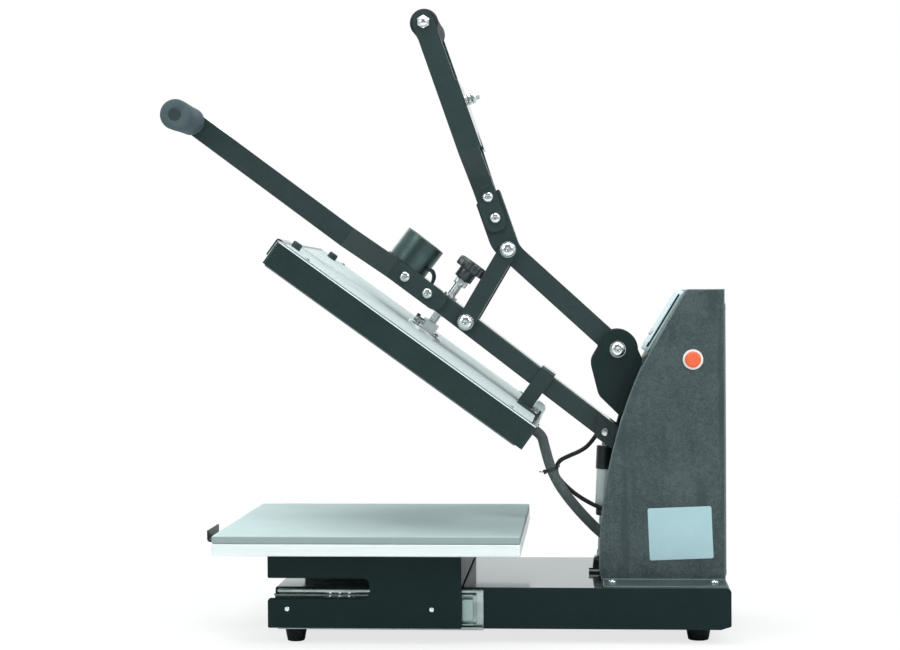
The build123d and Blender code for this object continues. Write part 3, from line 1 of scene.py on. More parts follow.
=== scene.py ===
from math import cos, pi, radians, sin

import bmesh
import bpy
import numpy as np
from mathutils import Matrix, Vector


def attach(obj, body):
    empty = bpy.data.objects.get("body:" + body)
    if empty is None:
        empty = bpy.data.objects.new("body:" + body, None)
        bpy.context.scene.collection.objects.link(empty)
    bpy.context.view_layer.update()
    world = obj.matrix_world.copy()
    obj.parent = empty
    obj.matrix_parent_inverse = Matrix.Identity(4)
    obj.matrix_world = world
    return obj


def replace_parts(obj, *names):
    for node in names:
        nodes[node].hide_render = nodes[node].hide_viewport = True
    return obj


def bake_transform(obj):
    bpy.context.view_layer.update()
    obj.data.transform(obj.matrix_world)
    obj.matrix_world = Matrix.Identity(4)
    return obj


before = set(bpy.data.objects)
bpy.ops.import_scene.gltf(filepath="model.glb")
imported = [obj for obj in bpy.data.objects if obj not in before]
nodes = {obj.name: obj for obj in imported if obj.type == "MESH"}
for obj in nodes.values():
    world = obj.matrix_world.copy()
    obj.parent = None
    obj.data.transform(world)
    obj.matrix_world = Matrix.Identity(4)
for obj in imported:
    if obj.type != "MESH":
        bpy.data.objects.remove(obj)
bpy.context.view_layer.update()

# The looks of a swing-open flat heat press. Metres, with the same axes as the press itself:
# X from the operator to the rear, Y to the operator's left, Z up, the floor at 0.

show = bpy.context.scene.collection.objects.link

# The photograph's camera
camera_place = (0.1733, -2.52102, 0.42919)
camera_lens = 76.9
camera_sensor = 36.0
camera_yaw = radians(4.081)
camera_pitch = radians(-0.792)
camera_roll = radians(-0.346)

# The arm is drawn closed and swung open about its pivot, and the handle about its own
arm_pivot = (0.2561, 0.2044)
arm_turn = radians(36.0)
handle_pivot = (0.2125, 0.3623)
handle_turn = radians(70.8535)
knee = (0.07146, 0.49184)
link_foot = (0.01587, 0.3981)
grip_bolt = (-0.0335, 0.7827)
bar_bolts = ((0.0455, 0.5605), (0.055, 0.5332))
lever_bolts = ((-0.0628, 0.4576), (-0.0337, 0.4358))
spring_pin = (0.1962, 0.2552)
spring_anchor = (0.1879, 0.0855)
lever_end = (-0.3301, 0.6572)

# The column's front, as x and z of its foot, belly, shoulder and crest: as the solid has it, and as
# it is drawn here, up to 10 mm further forward
solid_front = ((0.1899, 0.07), (0.2078, 0.215), (0.2522, 0.3348), (0.2992, 0.439))
drawn_front = ((0.187, 0.07), (0.2, 0.215), (0.2477, 0.356), (0.2981, 0.439))
# The control panel on the column's slope: how far up it starts on either, its lengths there, and the
# height of its face. Its keys stand above the face by this share of the solid's
panel_foot = (0.01615, 0.00355)
panel_lengths = (0.092, 0.09)
panel_face = 0.0065
key_share = 0.45
panel_out = (-0.85475, 0.0, 0.51903)
panel_rise = (0.51903, 0.0, 0.85475)

# Heights and places on the closed platen, the way up there, and the same way when it is open
sheet_top = 0.1754
screw_x = -0.09
knob_foot = 0.262
magnet_x = -0.1601
armature_low = 0.27736
up = (0, 0, 1)
arm_up = (sin(arm_turn), 0.0, cos(arm_turn))

# The bed's middle and its pad, and the label on the column's side
bed_x = -0.0991
pad_half = 0.19
pad_low = 0.1295
blanket_x = -0.0982
blanket_half = 0.184
blanket_low = 0.15578
column_side = -0.082
label_place = (0.2896, 0.1307)
label_half = (0.0401, 0.033)
label_turn = radians(2.3)

# Cable routes, the same points as the solids have
conduit_r = 0.00675
conduit_route = [
    (0.1058, -0.02, 0.2562), (0.1139, -0.02, 0.2503), (0.1166, -0.02, 0.2386),
    (0.1202, -0.02, 0.2246), (0.1246, -0.02, 0.2096), (0.1306, -0.0202, 0.1958),
    (0.14, -0.0205, 0.1796), (0.1549, -0.021, 0.1602), (0.1707, -0.022, 0.1426),
    (0.188, -0.022, 0.1254), (0.2064, -0.021, 0.111), (0.2249, -0.02, 0.1002),
]
lead_r = 0.0028
lead_route = [
    (0.18445, -0.014, 0.25075), (0.176, -0.014, 0.238), (0.163, -0.0135, 0.229),
    (0.1485, -0.012, 0.223), (0.1338, -0.01, 0.2155), (0.131, -0.0098, 0.1993),
    (0.1445, -0.0115, 0.1835), (0.163, -0.015, 0.1688), (0.1905, -0.0165, 0.1543),
    (0.222, -0.016, 0.144),
]
tie_height = 0.2065


# Surfaces


def patch_faces(rows, columns, closed, lie):
    """A grid's four-sided faces, and each corner's place on it: the share of the way round and the row's
    value. A closed grid joins its last column to its first."""
    turn = columns - (not closed)
    i, j = np.meshgrid(np.arange(rows - 1), np.arange(turn), indexing="ij")
    k = (j + 1) % columns
    corners = [i * columns + j, i * columns + k, (i + 1) * columns + k, (i + 1) * columns + j]
    u = np.stack([j, j + 1, j + 1, j], -1) / turn
    v = np.stack([lie[i], lie[i], lie[i + 1], lie[i + 1]], -1)
    return np.stack(corners, -1).reshape(-1, 4), np.stack([u, v], -1).reshape(-1, 2)


def surface(name, patches, *more):
    """One piece of several grids of points, each a pair of the grid and whether it is closed."""
    points, faces, lies, start = [], [], [], 0
    for grid, closed, *lie in patches:
        rows, columns = grid.shape[:2]
        row_lie = lie[0] if lie else np.arange(rows) / (rows - 1)
        patch, places = patch_faces(rows, columns, closed, row_lie)
        points.append(grid.reshape(-1, 3))
        faces.append(start + patch)
        lies.append(places)
        start += rows * columns
    mesh = bpy.data.meshes.new(name)
    mesh.from_pydata(np.concatenate(points).tolist(), [], np.concatenate(faces).tolist())
    layer = mesh.uv_layers.new(name="lie")
    layer.data.foreach_set("uv", np.concatenate(lies).astype(np.float32).ravel())
    weld(mesh)
    return shown(name, mesh, *more)


def shown(name, mesh, finish, body, slot, smooth_to=35):
    """A mesh as a piece that rides a body, smooth up to an angle between its faces."""
    mesh.shade_smooth()
    mesh.set_sharp_from_angle(angle=radians(smooth_to))
    mesh.materials.append(finish)
    piece = bpy.data.objects.new(name, mesh)
    show(piece)
    if body:
        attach(piece, body)
    return piece


def stand_in(node, *more):
    """A piece drawn in the place of a solid."""
    piece = surface(*more)
    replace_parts(piece, node)
    return piece


def weld(mesh, outward=False):
    """Joins points that coincide, so that poles and seams are closed, and turns the faces if asked."""
    work = bmesh.new()
    work.from_mesh(mesh)
    bmesh.ops.remove_doubles(work, verts=work.verts, dist=2e-6)
    bmesh.ops.dissolve_degenerate(work, edges=work.edges, dist=1e-7)
    if outward:
        bmesh.ops.recalc_face_normals(work, faces=work.faces)
    work.to_mesh(mesh)
    work.free()


def standing(points, foot, axis):
    """Points made about the z axis, turned so that z runs along the axis from its foot."""
    z = np.asarray(axis, float) / np.linalg.norm(axis)
    x = np.cross((0.0, 1.0, 0.0) if abs(z[1]) < 0.9 else (1.0, 0.0, 0.0), z)
    x /= np.linalg.norm(x)
    return points @ np.array([x, np.cross(z, x), z]) + np.asarray(foot, float)


def round_angles(count):
    return np.arange(count) * (2 * np.pi / count)


def capped(grid, first, last):
    """A closed grid with a point at either end."""
    poles = [np.broadcast_to(point, (1, grid.shape[1], 3)) for point in (first, last)]
    return np.concatenate([poles[0], grid, poles[1]])


def turned(profile, foot, axis, count=40, lobes=0):
    """A profile carried round an axis: P = (r cos a, r sin a, z). A row's third value is the share s by
    which its circle is drawn into another outline: r becomes r (1 - s) + r s w. A hexagon's w is
    cos 30 / cos(a mod 60 - 30), in degrees, and that of lobes is 1 + cos(lobes a)."""
    rows = np.array([(*row, 0.0)[:3] for row in profile], float)
    angle = round_angles(count)
    hexagon = cos(pi / 6) / np.cos(angle % (pi / 3) - pi / 6)
    outline = 1 + np.cos(lobes * angle) if lobes else hexagon
    r = rows[:, :1] * (1 - rows[:, 2:]) + rows[:, :1] * rows[:, 2:] * outline
    z = np.broadcast_to(rows[:, 1:2], r.shape)
    grid = np.stack([r * np.cos(angle), r * np.sin(angle), z], -1)
    return standing(grid, foot, axis), True


def swung(patch, pivot, turn):
    """A patch drawn closed, its front raised about a pivot line across the press: x' = px + u c + w s
    and z' = pz - u s + w c, where u and w are the distances from the pivot."""
    grid, *rest = patch
    c, s = cos(turn), sin(turn)
    u = grid[..., 0] - pivot[0]
    w = grid[..., 2] - pivot[1]
    opened = np.stack([pivot[0] + u * c + w * s, grid[..., 1], pivot[1] - u * s + w * c], -1)
    return opened, *rest


def on_arm(patch):
    return swung(patch, arm_pivot, arm_turn)


def on_handle(patch):
    return swung(patch, handle_pivot, handle_turn)


def crown(r_foot, r_top, low, high, steps=7):
    """Profile rows of a round crown: r = r_top + (r_foot - r_top) cos t, z = low + (high - low) sin t."""
    t = np.linspace(0, pi / 2, steps)
    return [(r_top + (r_foot - r_top) * cos(a), low + (high - low) * sin(a)) for a in t]


def threaded(r, pitch, depth, low, high, foot, axis):
    """A screw thread: r(a, z) = r - depth (1 + cos(2 pi z / pitch - a)) / 2, smooth over its last pitch
    at each end, where it comes down to its root."""
    z = np.linspace(low, high, int((high - low) / pitch * 8) + 1)[:, None]
    angle = round_angles(24)
    end = np.clip(np.minimum(z - low, high - z) / pitch, 0, 1)
    wave = (1 + np.cos(2 * np.pi * z / pitch - angle)) / 2
    radius = r - depth * (1 - end * (1 - wave))
    rows = np.broadcast_to(z, radius.shape)
    grid = np.stack([radius * np.cos(angle), radius * np.sin(angle), rows], -1)
    return standing(capped(grid, (0.0, 0.0, low), (0.0, 0.0, high)), foot, axis), True


def ringed(profile, foot, axis, count=40):
    """A ring: a profile whose last row is its first, carried round an axis."""
    return turned([*profile, profile[0]], foot, axis, count)


def slab(half_x, half_y, corner, rows, centre=(0.0, 0.0), count=9):
    """A flat piece with round corners: each row (d, z) draws the outline in by d and puts it at height z.
    The outline's points are c + e (cos a, sin a), where c is the nearest corner's centre and e its radius,
    and the first and last rows close to the middle."""
    angle = np.linspace(0, pi / 2, count)
    turn = np.concatenate([angle + k * pi / 2 for k in range(4)])
    sign = np.repeat([[1, 1], [-1, 1], [-1, -1], [1, -1]], count, axis=0)
    inset, height = np.array(rows, float).T[:, :, None]
    edge = np.maximum(corner - inset, 0.15 * corner)
    x = centre[0] + sign[:, 0] * (half_x - inset - edge) + edge * np.cos(turn)
    y = centre[1] + sign[:, 1] * (half_y - inset - edge) + edge * np.sin(turn)
    grid = np.stack([x, y, np.broadcast_to(height, x.shape)], -1)
    return capped(grid, (*centre, rows[0][1]), (*centre, rows[-1][1])), True


def ways(line):
    """The direction of a line of points at each of them."""
    run = np.gradient(line, axis=0)
    return run / np.linalg.norm(run, axis=1)[:, None]


def tube(line, r, sides):
    """A round tube on a line of points: P = c + r (n cos a + b sin a), where n and b are square to the
    line and turn with it as little as they can."""
    run = ways(line)
    normal = np.empty_like(run)
    first = np.cross(run[0], (0.0, 1.0, 0.0))
    normal[0] = first / np.linalg.norm(first)
    for n in range(1, len(run)):
        carried = normal[n - 1] - run[n] * (normal[n - 1] @ run[n])
        normal[n] = carried / np.linalg.norm(carried)
    side = np.cross(run, normal)
    angle = round_angles(sides)
    ring = normal[:, None] * np.cos(angle)[:, None] + side[:, None] * np.sin(angle)[:, None]
    grid = line[:, None] + r * ring
    length = np.r_[0, np.cumsum(np.linalg.norm(np.diff(line, axis=0), axis=1))]
    return capped(grid, line[0], line[-1]), True, np.r_[0, length, length[-1]]


def smooth_line(route):
    """Points read from a smooth curve whose control points are the route's."""
    data = bpy.data.curves.new("route", "CURVE")
    data.dimensions = "3D"
    spline = data.splines.new("NURBS")
    spline.points.add(len(route) - 1)
    for point, place in zip(spline.points, route):
        point.co = (*place, 1.0)
    spline.order_u = 3
    spline.use_endpoint_u = True
    curve = bpy.data.objects.new("route", data)
    show(curve)
    line = bpy.data.meshes.new_from_object(curve)
    points = np.empty(len(line.vertices) * 3)
    line.vertices.foreach_get("co", points)
    bpy.data.objects.remove(curve)
    return points.reshape(-1, 3)


# Finishes


def operation(kind, swapped=False):
    """One of Amount's operators: a maths node of the amount and another, or of the other and the amount."""

    def run(self, other=0.0):
        first, second = (other, self) if swapped else (self, other)
        return self.finish.add("ShaderNodeMath", {"operation": kind}, {0: first, 1: second})

    return run


class Amount:
    """A number or colour on a surface. Sums, differences and products of numbers add their nodes."""

    def __init__(self, finish, socket):
        self.finish = finish
        self.socket = socket

    __add__, __radd__ = operation("ADD"), operation("ADD", True)
    __sub__, __rsub__ = operation("SUBTRACT"), operation("SUBTRACT", True)
    __mul__, __rmul__ = operation("MULTIPLY"), operation("MULTIPLY", True)
    __abs__, sine, most = operation("ABSOLUTE"), operation("SINE"), operation("MAXIMUM")

    def step(self, low, high):
        """0 below low, 1 above high, and a smooth rise between them."""
        sockets = {"Value": self, "From Min": low, "From Max": high}
        return self.finish.add("ShaderNodeMapRange", {"interpolation_type": "SMOOTHSTEP"}, sockets)


class Finish:
    """One material, or the world. Its nodes all come from add."""

    def __init__(self, name, world=None):
        self.material = world or bpy.data.materials.new(name)
        self.material.use_nodes = True
        self.tree = self.material.node_tree
        self.tree.nodes.clear()

    def add(self, kind, settings=None, sockets=None, out=0):
        """A node with its settings made first and then the values or links of its sockets."""
        node = self.tree.nodes.new(kind)
        for key, value in (settings or {}).items():
            setattr(node, key, value)
        for key, value in (sockets or {}).items():
            if isinstance(value, Amount):
                self.tree.links.new(value.socket, node.inputs[key])
            elif value is not None:
                node.inputs[key].default_value = value
        return Amount(self, node.outputs[out]) if len(node.outputs) else None

    def place(self, stretch=(1.0, 1.0, 1.0)):
        """The point's place on the object, stretched."""
        spot = self.add("ShaderNodeTexCoord", out="Object")
        return self.add("ShaderNodeMapping", None, {"Vector": spot, "Scale": stretch})

    def part(self, axis, vector=None):
        """One of the three numbers of the point's place, or of another vector."""
        return self.add("ShaderNodeSeparateXYZ", None, {0: vector or self.place()}, out=axis)

    def dot(self, first, second):
        """The product of two vectors' lengths and of the cosine between them."""
        sockets = {0: first, 1: second}
        return self.add("ShaderNodeVectorMath", {"operation": "DOT_PRODUCT"}, sockets, out="Value")

    def along(self, direction):
        """The point's distance along a direction from the origin."""
        return self.dot(self.place(), direction)

    def noise(self, scale, detail, rough=0.5, stretch=(1.0, 1.0, 1.0)):
        """Cloudy variation about 0.5, so many clouds to the metre."""
        sockets = {"Vector": self.place(stretch), "Scale": scale, "Detail": detail, "Roughness": rough}
        return self.add("ShaderNodeTexNoise", None, sockets)

    def specks(self, scale):
        """The distance to the nearest of scattered points, in shares of their spacing."""
        return self.add("ShaderNodeTexVoronoi", None, {"Vector": self.place(), "Scale": scale})

    def blend(self, factor, first, second):
        """One colour going over into another as the factor goes from 0 to 1."""
        sockets = {0: factor, 6: rgba(first), 7: rgba(second)}
        return self.add("ShaderNodeMix", {"data_type": "RGBA"}, sockets, out=2)

    def rounded(self, r):
        """The surface's direction with its edges rounded to a radius."""
        return self.add("ShaderNodeBevel", {"samples": 4}, {"Radius": r})

    def edges(self, rounded):
        """1 along outer edges and 0 on flat faces. A colour paled by it shows partly wear and partly a
        painted highlight.
        """
        face = self.add("ShaderNodeNewGeometry", out="Normal")
        return (1.0 - self.dot(rounded, face)).step(0.02, 0.16)

    def bump(self, height, depth, normal=None):
        """The surface's direction with a fine relief of a depth in metres."""
        return self.add("ShaderNodeBump", None, {"Height": height, "Distance": depth, "Normal": normal})

    def surface(self, colour, rough, metal=0.0, normal=None, **fixed):
        """The one shader, with what is the same all over given by name."""
        sockets = {"Base Color": rgba(colour), "Roughness": rough, "Metallic": metal, "Normal": normal}
        sockets.update({key.replace("_", " "): value for key, value in fixed.items()})
        shader = self.add("ShaderNodeBsdfPrincipled", None, sockets)
        self.add("ShaderNodeOutputMaterial", None, {"Surface": shader})
        return self.material


def rgba(colour):
    """A plain colour with its alpha; a colour that is worked out stays as it is."""
    return colour if isinstance(colour, Amount) else (*colour, 1.0)


def brighter(colour, by, more=0.0):
    """A plain colour made lighter or darker."""
    return tuple(min(1.0, by * value + more) for value in colour)


def coat_colour(f, rounded, colour, light, mottle, wear, streaked):
    """The colour of a powder coat: cloudy tone, sandy grain, dust, and paler edges that are partly wear and
    partly a painted highlight.
    """
    clouds = f.noise(17.0, 4.0, 0.6)
    patches = f.noise(150.0, 4.0, 0.7)
    sand = f.noise(750.0, 2.0, 0.7)
    shade = (clouds * 0.25 + patches * 0.25 + sand * 0.5).step(0.4, 0.6)
    if streaked:
        drips = f.noise(55.0, 2.0, stretch=(1.0, 1.0, 0.1)).step(0.56, 0.7)
        shade = shade * (1.0 - drips * 0.75)
    dust = f.specks(330.0).step(0.09, 0.03) * f.noise(30.0, 1.0).step(0.52, 0.62) * 0.22
    mixed = f.blend(shade * mottle + dust, colour, light)
    # The pale edges are partly wear and partly a painted highlight.
    return f.blend(f.edges(rounded) * wear, mixed, brighter(light, 2.8, 0.05)), clouds


def powder_coat(name, colour, light, grain=1500.0, depth=0.00004, mottle=0.5, rough=0.38, gloss=0.9,
                rim=0.0007, wear=0.4, streaked=False, sheen=0.22, gloss_index=1.22, pale_at=None,
                glossy_at=None):
    """Powder coat: fine orange peel under a thin gloss that shows most at a glance along the face.
    pale_at masks the places that are painted pale, such as a painted highlight, and glossy_at those that keep
    the full gloss."""
    f = Finish(name)
    rounded = f.rounded(rim)
    colour, clouds = coat_colour(f, rounded, colour, light, mottle, wear, streaked)
    if pale_at:
        # Painted pale: along the platen's rim this is a painted highlight.
        colour = f.blend(pale_at(f), colour, (0.62, 0.74, 0.75))
    peel = f.noise(grain, 2.0) + f.noise(grain * 0.3, 1.0) * 0.6
    if glossy_at:
        gloss = glossy_at(f) * (1.0 - gloss) + gloss
    bump = f.bump(peel, depth, rounded)
    return f.surface(colour, rough + (clouds - 0.5) * 0.18, normal=bump, Specular_IOR_Level=sheen,
                     Coat_Weight=gloss, Coat_Roughness=0.07, Coat_IOR=gloss_index)


def sheet_zinc(name, colour, rough=0.24, brush=(1.0, 1.0, 1.0), worn=0.7, moulded_at=None):
    """Plated steel: soft cloudy tint, faint drawing lines and dull patches. moulded_at masks the
    places that are pale moulded plastic instead."""
    f = Finish(name)
    rounded = f.rounded(0.0004)
    tint = f.noise(52.0, 3.0, 0.6)
    lines = f.noise(900.0, 2.0, 0.6, stretch=brush)
    edge = brighter(colour, 1.25, 0.05)
    colour = f.blend(tint.step(0.35, 0.7) * 0.6, colour, brighter(colour, worn))
    # Paler edges: partly wear and partly a painted highlight.
    colour = f.blend(f.edges(rounded) * 0.5, colour, edge)
    metal = 1.0
    if moulded_at:
        metal = 1.0 - moulded_at(f)
        colour = f.blend(metal, (0.27, 0.38, 0.36), colour)
    bump = f.bump(lines, 0.00002, rounded)
    return f.surface(colour, rough + (tint - 0.5) * 0.25, metal=metal, normal=bump)


def milled(name, colour, rough, scale, stretch, lines, metal=0.9):
    """Milled or ground metal: long fine tool lines, a few scratches and cloudy wear."""
    f = Finish(name)
    rounded = f.rounded(0.0006)
    cuts = f.noise(scale, 3.0, 0.7, stretch=stretch)
    wear = f.noise(14.0, 4.0, 0.6)
    cut = f.blend(cuts.step(0.3, 0.7) * lines, colour, brighter(colour, 0.66))
    worn = f.blend(wear.step(0.52, 0.72) * 0.3, cut, brighter(colour, 0.85))
    bump = f.bump(cuts, 0.00003, rounded)
    return f.surface(worn, rough + (wear - 0.5) * 0.2, metal=metal, normal=bump)


def chrome(name, colour, rough):
    """Bright plating with a little haze and fingerprints."""
    f = Finish(name)
    rounded = f.rounded(0.0003)
    haze = f.noise(160.0, 3.0, 0.6)
    colour = f.blend(haze.step(0.4, 0.75) * 0.35, colour, brighter(colour, 0.7))
    return f.surface(colour, rough + haze.step(0.45, 0.8) * 0.14, metal=1.0, normal=rounded)


def moulded(name, colour, light, rough=0.38, depth=0.00004, shine=0.4, dark_at=None):
    """Moulded plastic: fine spark texture, slight cloudiness, shinier rubbed places, and paler edges that are
    partly wear and partly a painted highlight. dark_at masks the places painted dark, such as painted shade
    in a seam."""
    f = Finish(name)
    rounded = f.rounded(0.0005)
    clouds = f.noise(45.0, 3.0, 0.55)
    colour = f.blend(clouds.step(0.4, 0.75) * 0.5, colour, light)
    # Paler edges: partly wear and partly a painted highlight.
    colour = f.blend(f.edges(rounded) * 0.25, colour, brighter(light, 1.8, 0.02))
    if dark_at:
        # Painted shade in the seam along the bezel, and the dark plug.
        colour = f.blend(dark_at(f), colour, (0.01, 0.014, 0.015))
    bump = f.bump(f.noise(700.0, 2.0, 0.6), depth, rounded)
    return f.surface(colour, rough + (clouds - 0.5) * 0.2, normal=bump, Specular_IOR_Level=shine)


def rubber(name, colour, light, grain=500.0, depth=0.00008, rough=0.72):
    """Rubber or closed foam: a matt skin with pores and pale bloom."""
    f = Finish(name)
    clouds = f.noise(60.0, 4.0, 0.6)
    pores = f.specks(grain * 1.6).step(0.22, 0.08)
    bloom = f.noise(16.0, 2.0).step(0.45, 0.7)
    colour = f.blend(clouds.step(0.35, 0.7) * 0.5 + bloom * 0.3, colour, light)
    colour = f.blend(pores * 0.4, colour, brighter(light, 0.6))
    bump = f.bump(f.noise(grain, 3.0, 0.6) - pores * 0.5, depth)
    return f.surface(colour, rough + (clouds - 0.5) * 0.15, normal=bump, Specular_IOR_Level=0.25)


def silicone(name, colour, light):
    """A pressing pad: matt silicone with a faint open grain, dust, a few scorched patches, and sides
    painted darker as shade."""
    f = Finish(name)
    clouds = f.noise(9.0, 4.0, 0.6)
    grain = f.noise(420.0, 3.0, 0.7)
    flecks = f.specks(240.0).step(0.16, 0.06) * 0.35
    dark = brighter(colour, 0.8)
    colour = f.blend(clouds.step(0.35, 0.7) * 0.6 + (grain - 0.5) * 0.5, colour, light)
    colour = f.blend(flecks, colour, dark)
    # Painted shade on the pad's sides.
    side = f.part(2).step(0.1384, 0.1378)
    colour = f.blend(side, colour, brighter(light, 0.52))
    bump = f.bump(grain - flecks, 0.00006)
    return f.surface(colour, 0.62 + (clouds - 0.5) * 0.15, normal=bump)


def woven(name, colour, light):
    """A braided sleeve: 26 threads round it and one in 1.6 mm of its length cross at a slant, over and
    under each other."""
    f = Finish(name)
    lie = f.add("ShaderNodeUVMap", {"uv_map": "lie"})
    round_share = f.part(0, lie) * (26 * 2 * pi)
    length = f.part(1, lie) * (2 * pi / 0.0016)
    over = (round_share + length).sine() * (round_share - length).sine()
    threads = over.step(-0.6, 0.6)
    dust = f.noise(70.0, 4.0, 0.65)
    colour = f.blend(threads * 0.55 + dust.step(0.45, 0.7) * 0.35, colour, light)
    bump = f.bump(threads, 0.00025)
    return f.surface(colour, 0.66 + (dust - 0.5) * 0.2, normal=bump, Sheen_Weight=0.25)


def tab_mask(f):
    """1 on the small upright tab behind the strap: near the middle plane and low on the closed platen."""
    return f.along(arm_up).step(0.312, 0.311) * abs(f.part(1)).step(0.0205, 0.0195)


def between(amount, low, high):
    """1 between two values and 0 outside them, with a fifth of a millimetre to change over."""
    return amount.step(low, low + 0.0002) * amount.step(high, high - 0.0002)


def seam_shade_mask(f):
    """1 in the painted shade of the gap along the bezel's sides, and on the small plug near its low end."""
    out = f.along(panel_out)
    plug = between(out, -0.024, -0.0211) * between(f.along(panel_rise), 0.4424, 0.4484)
    return between(out, -0.0246, -0.0222).most(plug) * abs(f.part(1)).step(0.0586, 0.0588)


def top_mask(f):
    """1 on the base's top face."""
    return f.part(2).step(0.0692, 0.0697)


def rim_highlight_mask(f):
    """1 on the painted highlight line along the upper edges of the platen's long sides."""
    return f.along(arm_up).step(0.2843, 0.2848) * abs(f.part(1)).step(0.1893, 0.1899)


def stop_mask(f):
    """1 on the moulded stops at the rear of the slides."""
    return between(f.part(0), 0.0173, 0.0308) * abs(f.part(1)).step(0.1446, 0.1448)


def dress(names, finish):
    """Gives a finish to solids that show as they are."""
    for name in names.split():
        nodes[name].data.materials.clear()
        nodes[name].data.materials.append(finish)


satin_black = ((0.022, 0.038, 0.039), (0.033, 0.053, 0.055))
matt = {"gloss": 0.08, "sheen": 0.07, "gloss_index": 1.5}
dress("arm_tube arm_cheeks lever_bar lever_rod front_guard knee_plates handle_bars toggle_links",
      powder_coat("satin_black_coat", *satin_black, rough=0.36))
dress("yoke_strap", powder_coat("yoke_black_coat", *satin_black, rough=0.36, pale_at=tab_mask))
# Painted shade: the frame plates get a darker black than the arms' coat, for where they sit in shade.
dress("frame_plates",
      powder_coat("frame_shaded_black_coat", (0.008, 0.0185, 0.0185), (0.014, 0.028, 0.028), rough=0.4, gloss=0.6,
                  sheen=0.14))
dress("platen_cover",
      powder_coat("platen_black_coat", (0.014, 0.028, 0.028), (0.024, 0.044, 0.044), gloss=0.5, sheen=0.16,
                  pale_at=rim_highlight_mask))
dress("base_box gas_spring_bracket",
      powder_coat("base_black_coat", (0.0042, 0.014, 0.015), (0.0085, 0.0215, 0.023), glossy_at=top_mask,
                  **matt))
dress("drawer_carriage drawer_pull",
      powder_coat("carriage_black_coat", (0.0036, 0.0135, 0.014), (0.0075, 0.0205, 0.0215), **matt))
# The column's wide edge rounding and strong edge paling paint the highlight along its front bend, as well as
# wear.
column_coat = powder_coat("column_charcoal_coat", (0.031, 0.049, 0.052), (0.072, 0.099, 0.105), grain=1100.0,
                          depth=0.00008, mottle=0.9, rough=0.5, gloss=0.25, rim=0.0032, wear=0.85,
                          streaked=True)
dress("back_panel", column_coat)

along_x, along_y, along_z = (0.04, 1.0, 1.0), (1.0, 0.1, 1.0), (0.1, 0.1, 1.0)
zinc = sheet_zinc("zinc_plate", (0.66, 0.7, 0.7), brush=along_y, worn=0.8)
dull_zinc = sheet_zinc("dull_zinc", (0.36, 0.4, 0.4), rough=0.36, brush=along_y)
screw_zinc = sheet_zinc("screw_zinc", (0.7, 0.75, 0.75), rough=0.36, worn=0.9)
bright = chrome("bright_chrome", (0.8, 0.84, 0.84), 0.2)
dress("frame_ties", zinc)
dress("pressure_nut screw_socket", screw_zinc)
dress("slide_middle_members",
      sheet_zinc("middle_slide_zinc", (0.36, 0.43, 0.42), rough=0.3, brush=along_x, worn=0.5,
                 moulded_at=stop_mask))
dress("slide_outer_members slide_inner_members",
      sheet_zinc("slide_zinc", (0.4, 0.47, 0.46), rough=0.3, brush=along_x, worn=0.5))
dress("slide_balls", chrome("ball_steel", (0.66, 0.68, 0.69), 0.12))
dress("electromagnet", sheet_zinc("magnet_dark_steel", (0.07, 0.108, 0.107), rough=0.4, brush=along_z))
dress("heating_element", sheet_zinc("heater_tube", (0.3, 0.27, 0.24), rough=0.45))
dress("gas_spring_rod", milled("polished_rod", (0.74, 0.8, 0.8), 0.25, 600.0, (1.0, 1.0, 0.05), 0.1, 0.5))
dress("bed_plate", milled("milled_bed_plate", (0.79, 0.86, 0.86), 0.4, 420.0, (0.03, 0.03, 1.0), 0.2, 0.35))
dress("heat_plate", milled("coated_heat_plate", (0.2, 0.235, 0.25), 0.42, 260.0, (0.15, 1.0, 1.0), 0.2))
dress("top_sheet", milled("pale_top_sheet", (0.5, 0.585, 0.592), 0.6, 240.0, (0.3, 1.0, 1.0), 0.05, 0.0))

black_plastic = moulded("black_plastic", (0.014, 0.02, 0.022), (0.03, 0.04, 0.044))
knob_plastic = moulded("knob_gloss_plastic", (0.024, 0.038, 0.042), (0.044, 0.06, 0.065), rough=0.24,
                       depth=0.00001, shine=0.6)
bezel_plastic = moulded("pale_bezel_plastic", (0.52, 0.68, 0.7), (0.6, 0.75, 0.77), rough=0.35,
                        dark_at=seam_shade_mask)
overlay_film = moulded("pale_overlay", (0.4, 0.53, 0.6), (0.5, 0.62, 0.68), rough=0.28, depth=0.00002)
key_plastic = moulded("key_plastic", (0.52, 0.56, 0.6), (0.62, 0.66, 0.7), rough=0.36)
label_film = moulded("label_film", (0.34, 0.51, 0.55), (0.38, 0.56, 0.6), rough=0.32, depth=0.00001)
cylinder_paint = moulded("pale_cylinder_paint", (0.66, 0.76, 0.77), (0.74, 0.83, 0.84), rough=0.3)
dress("power_inlet power_rocker cable_gland", black_plastic)
dress("button_ring", moulded("pale_ring_plastic", (0.8, 0.79, 0.76), (0.88, 0.87, 0.84), rough=0.35))
dress("button_cap", moulded("red_button_plastic", (0.74, 0.12, 0.05), (0.8, 0.16, 0.07), rough=0.32))
dress("control_electronics", moulded("circuit_board", (0.03, 0.14, 0.06), (0.05, 0.2, 0.09), rough=0.35))

foot_rubber = rubber("black_rubber", (0.002, 0.0055, 0.007), (0.006, 0.012, 0.014))
grey_foam = rubber("grey_foam", (0.051, 0.08, 0.0915), (0.085, 0.118, 0.127), grain=900.0, rough=0.85)
black_foam = rubber("black_foam", (0.013, 0.018, 0.023), (0.028, 0.036, 0.044), grain=900.0, rough=0.6)
lead_skin = rubber("black_lead", (0.01, 0.016, 0.018), (0.024, 0.034, 0.038), grain=1200.0, rough=0.45)
wool = rubber("insulation_wool", (0.62, 0.6, 0.52), (0.78, 0.76, 0.7), grain=300.0, depth=0.0004, rough=0.95)
pad_skin = silicone("silicone_pad", (0.385, 0.505, 0.505), (0.48, 0.61, 0.61))
sleeve = woven("grey_sleeve", (0.04, 0.06, 0.062), (0.12, 0.16, 0.164))
dress("rubber_caps", rubber("cap_rubber", (0.02, 0.034, 0.04), (0.06, 0.08, 0.09), rough=0.45))


# Column


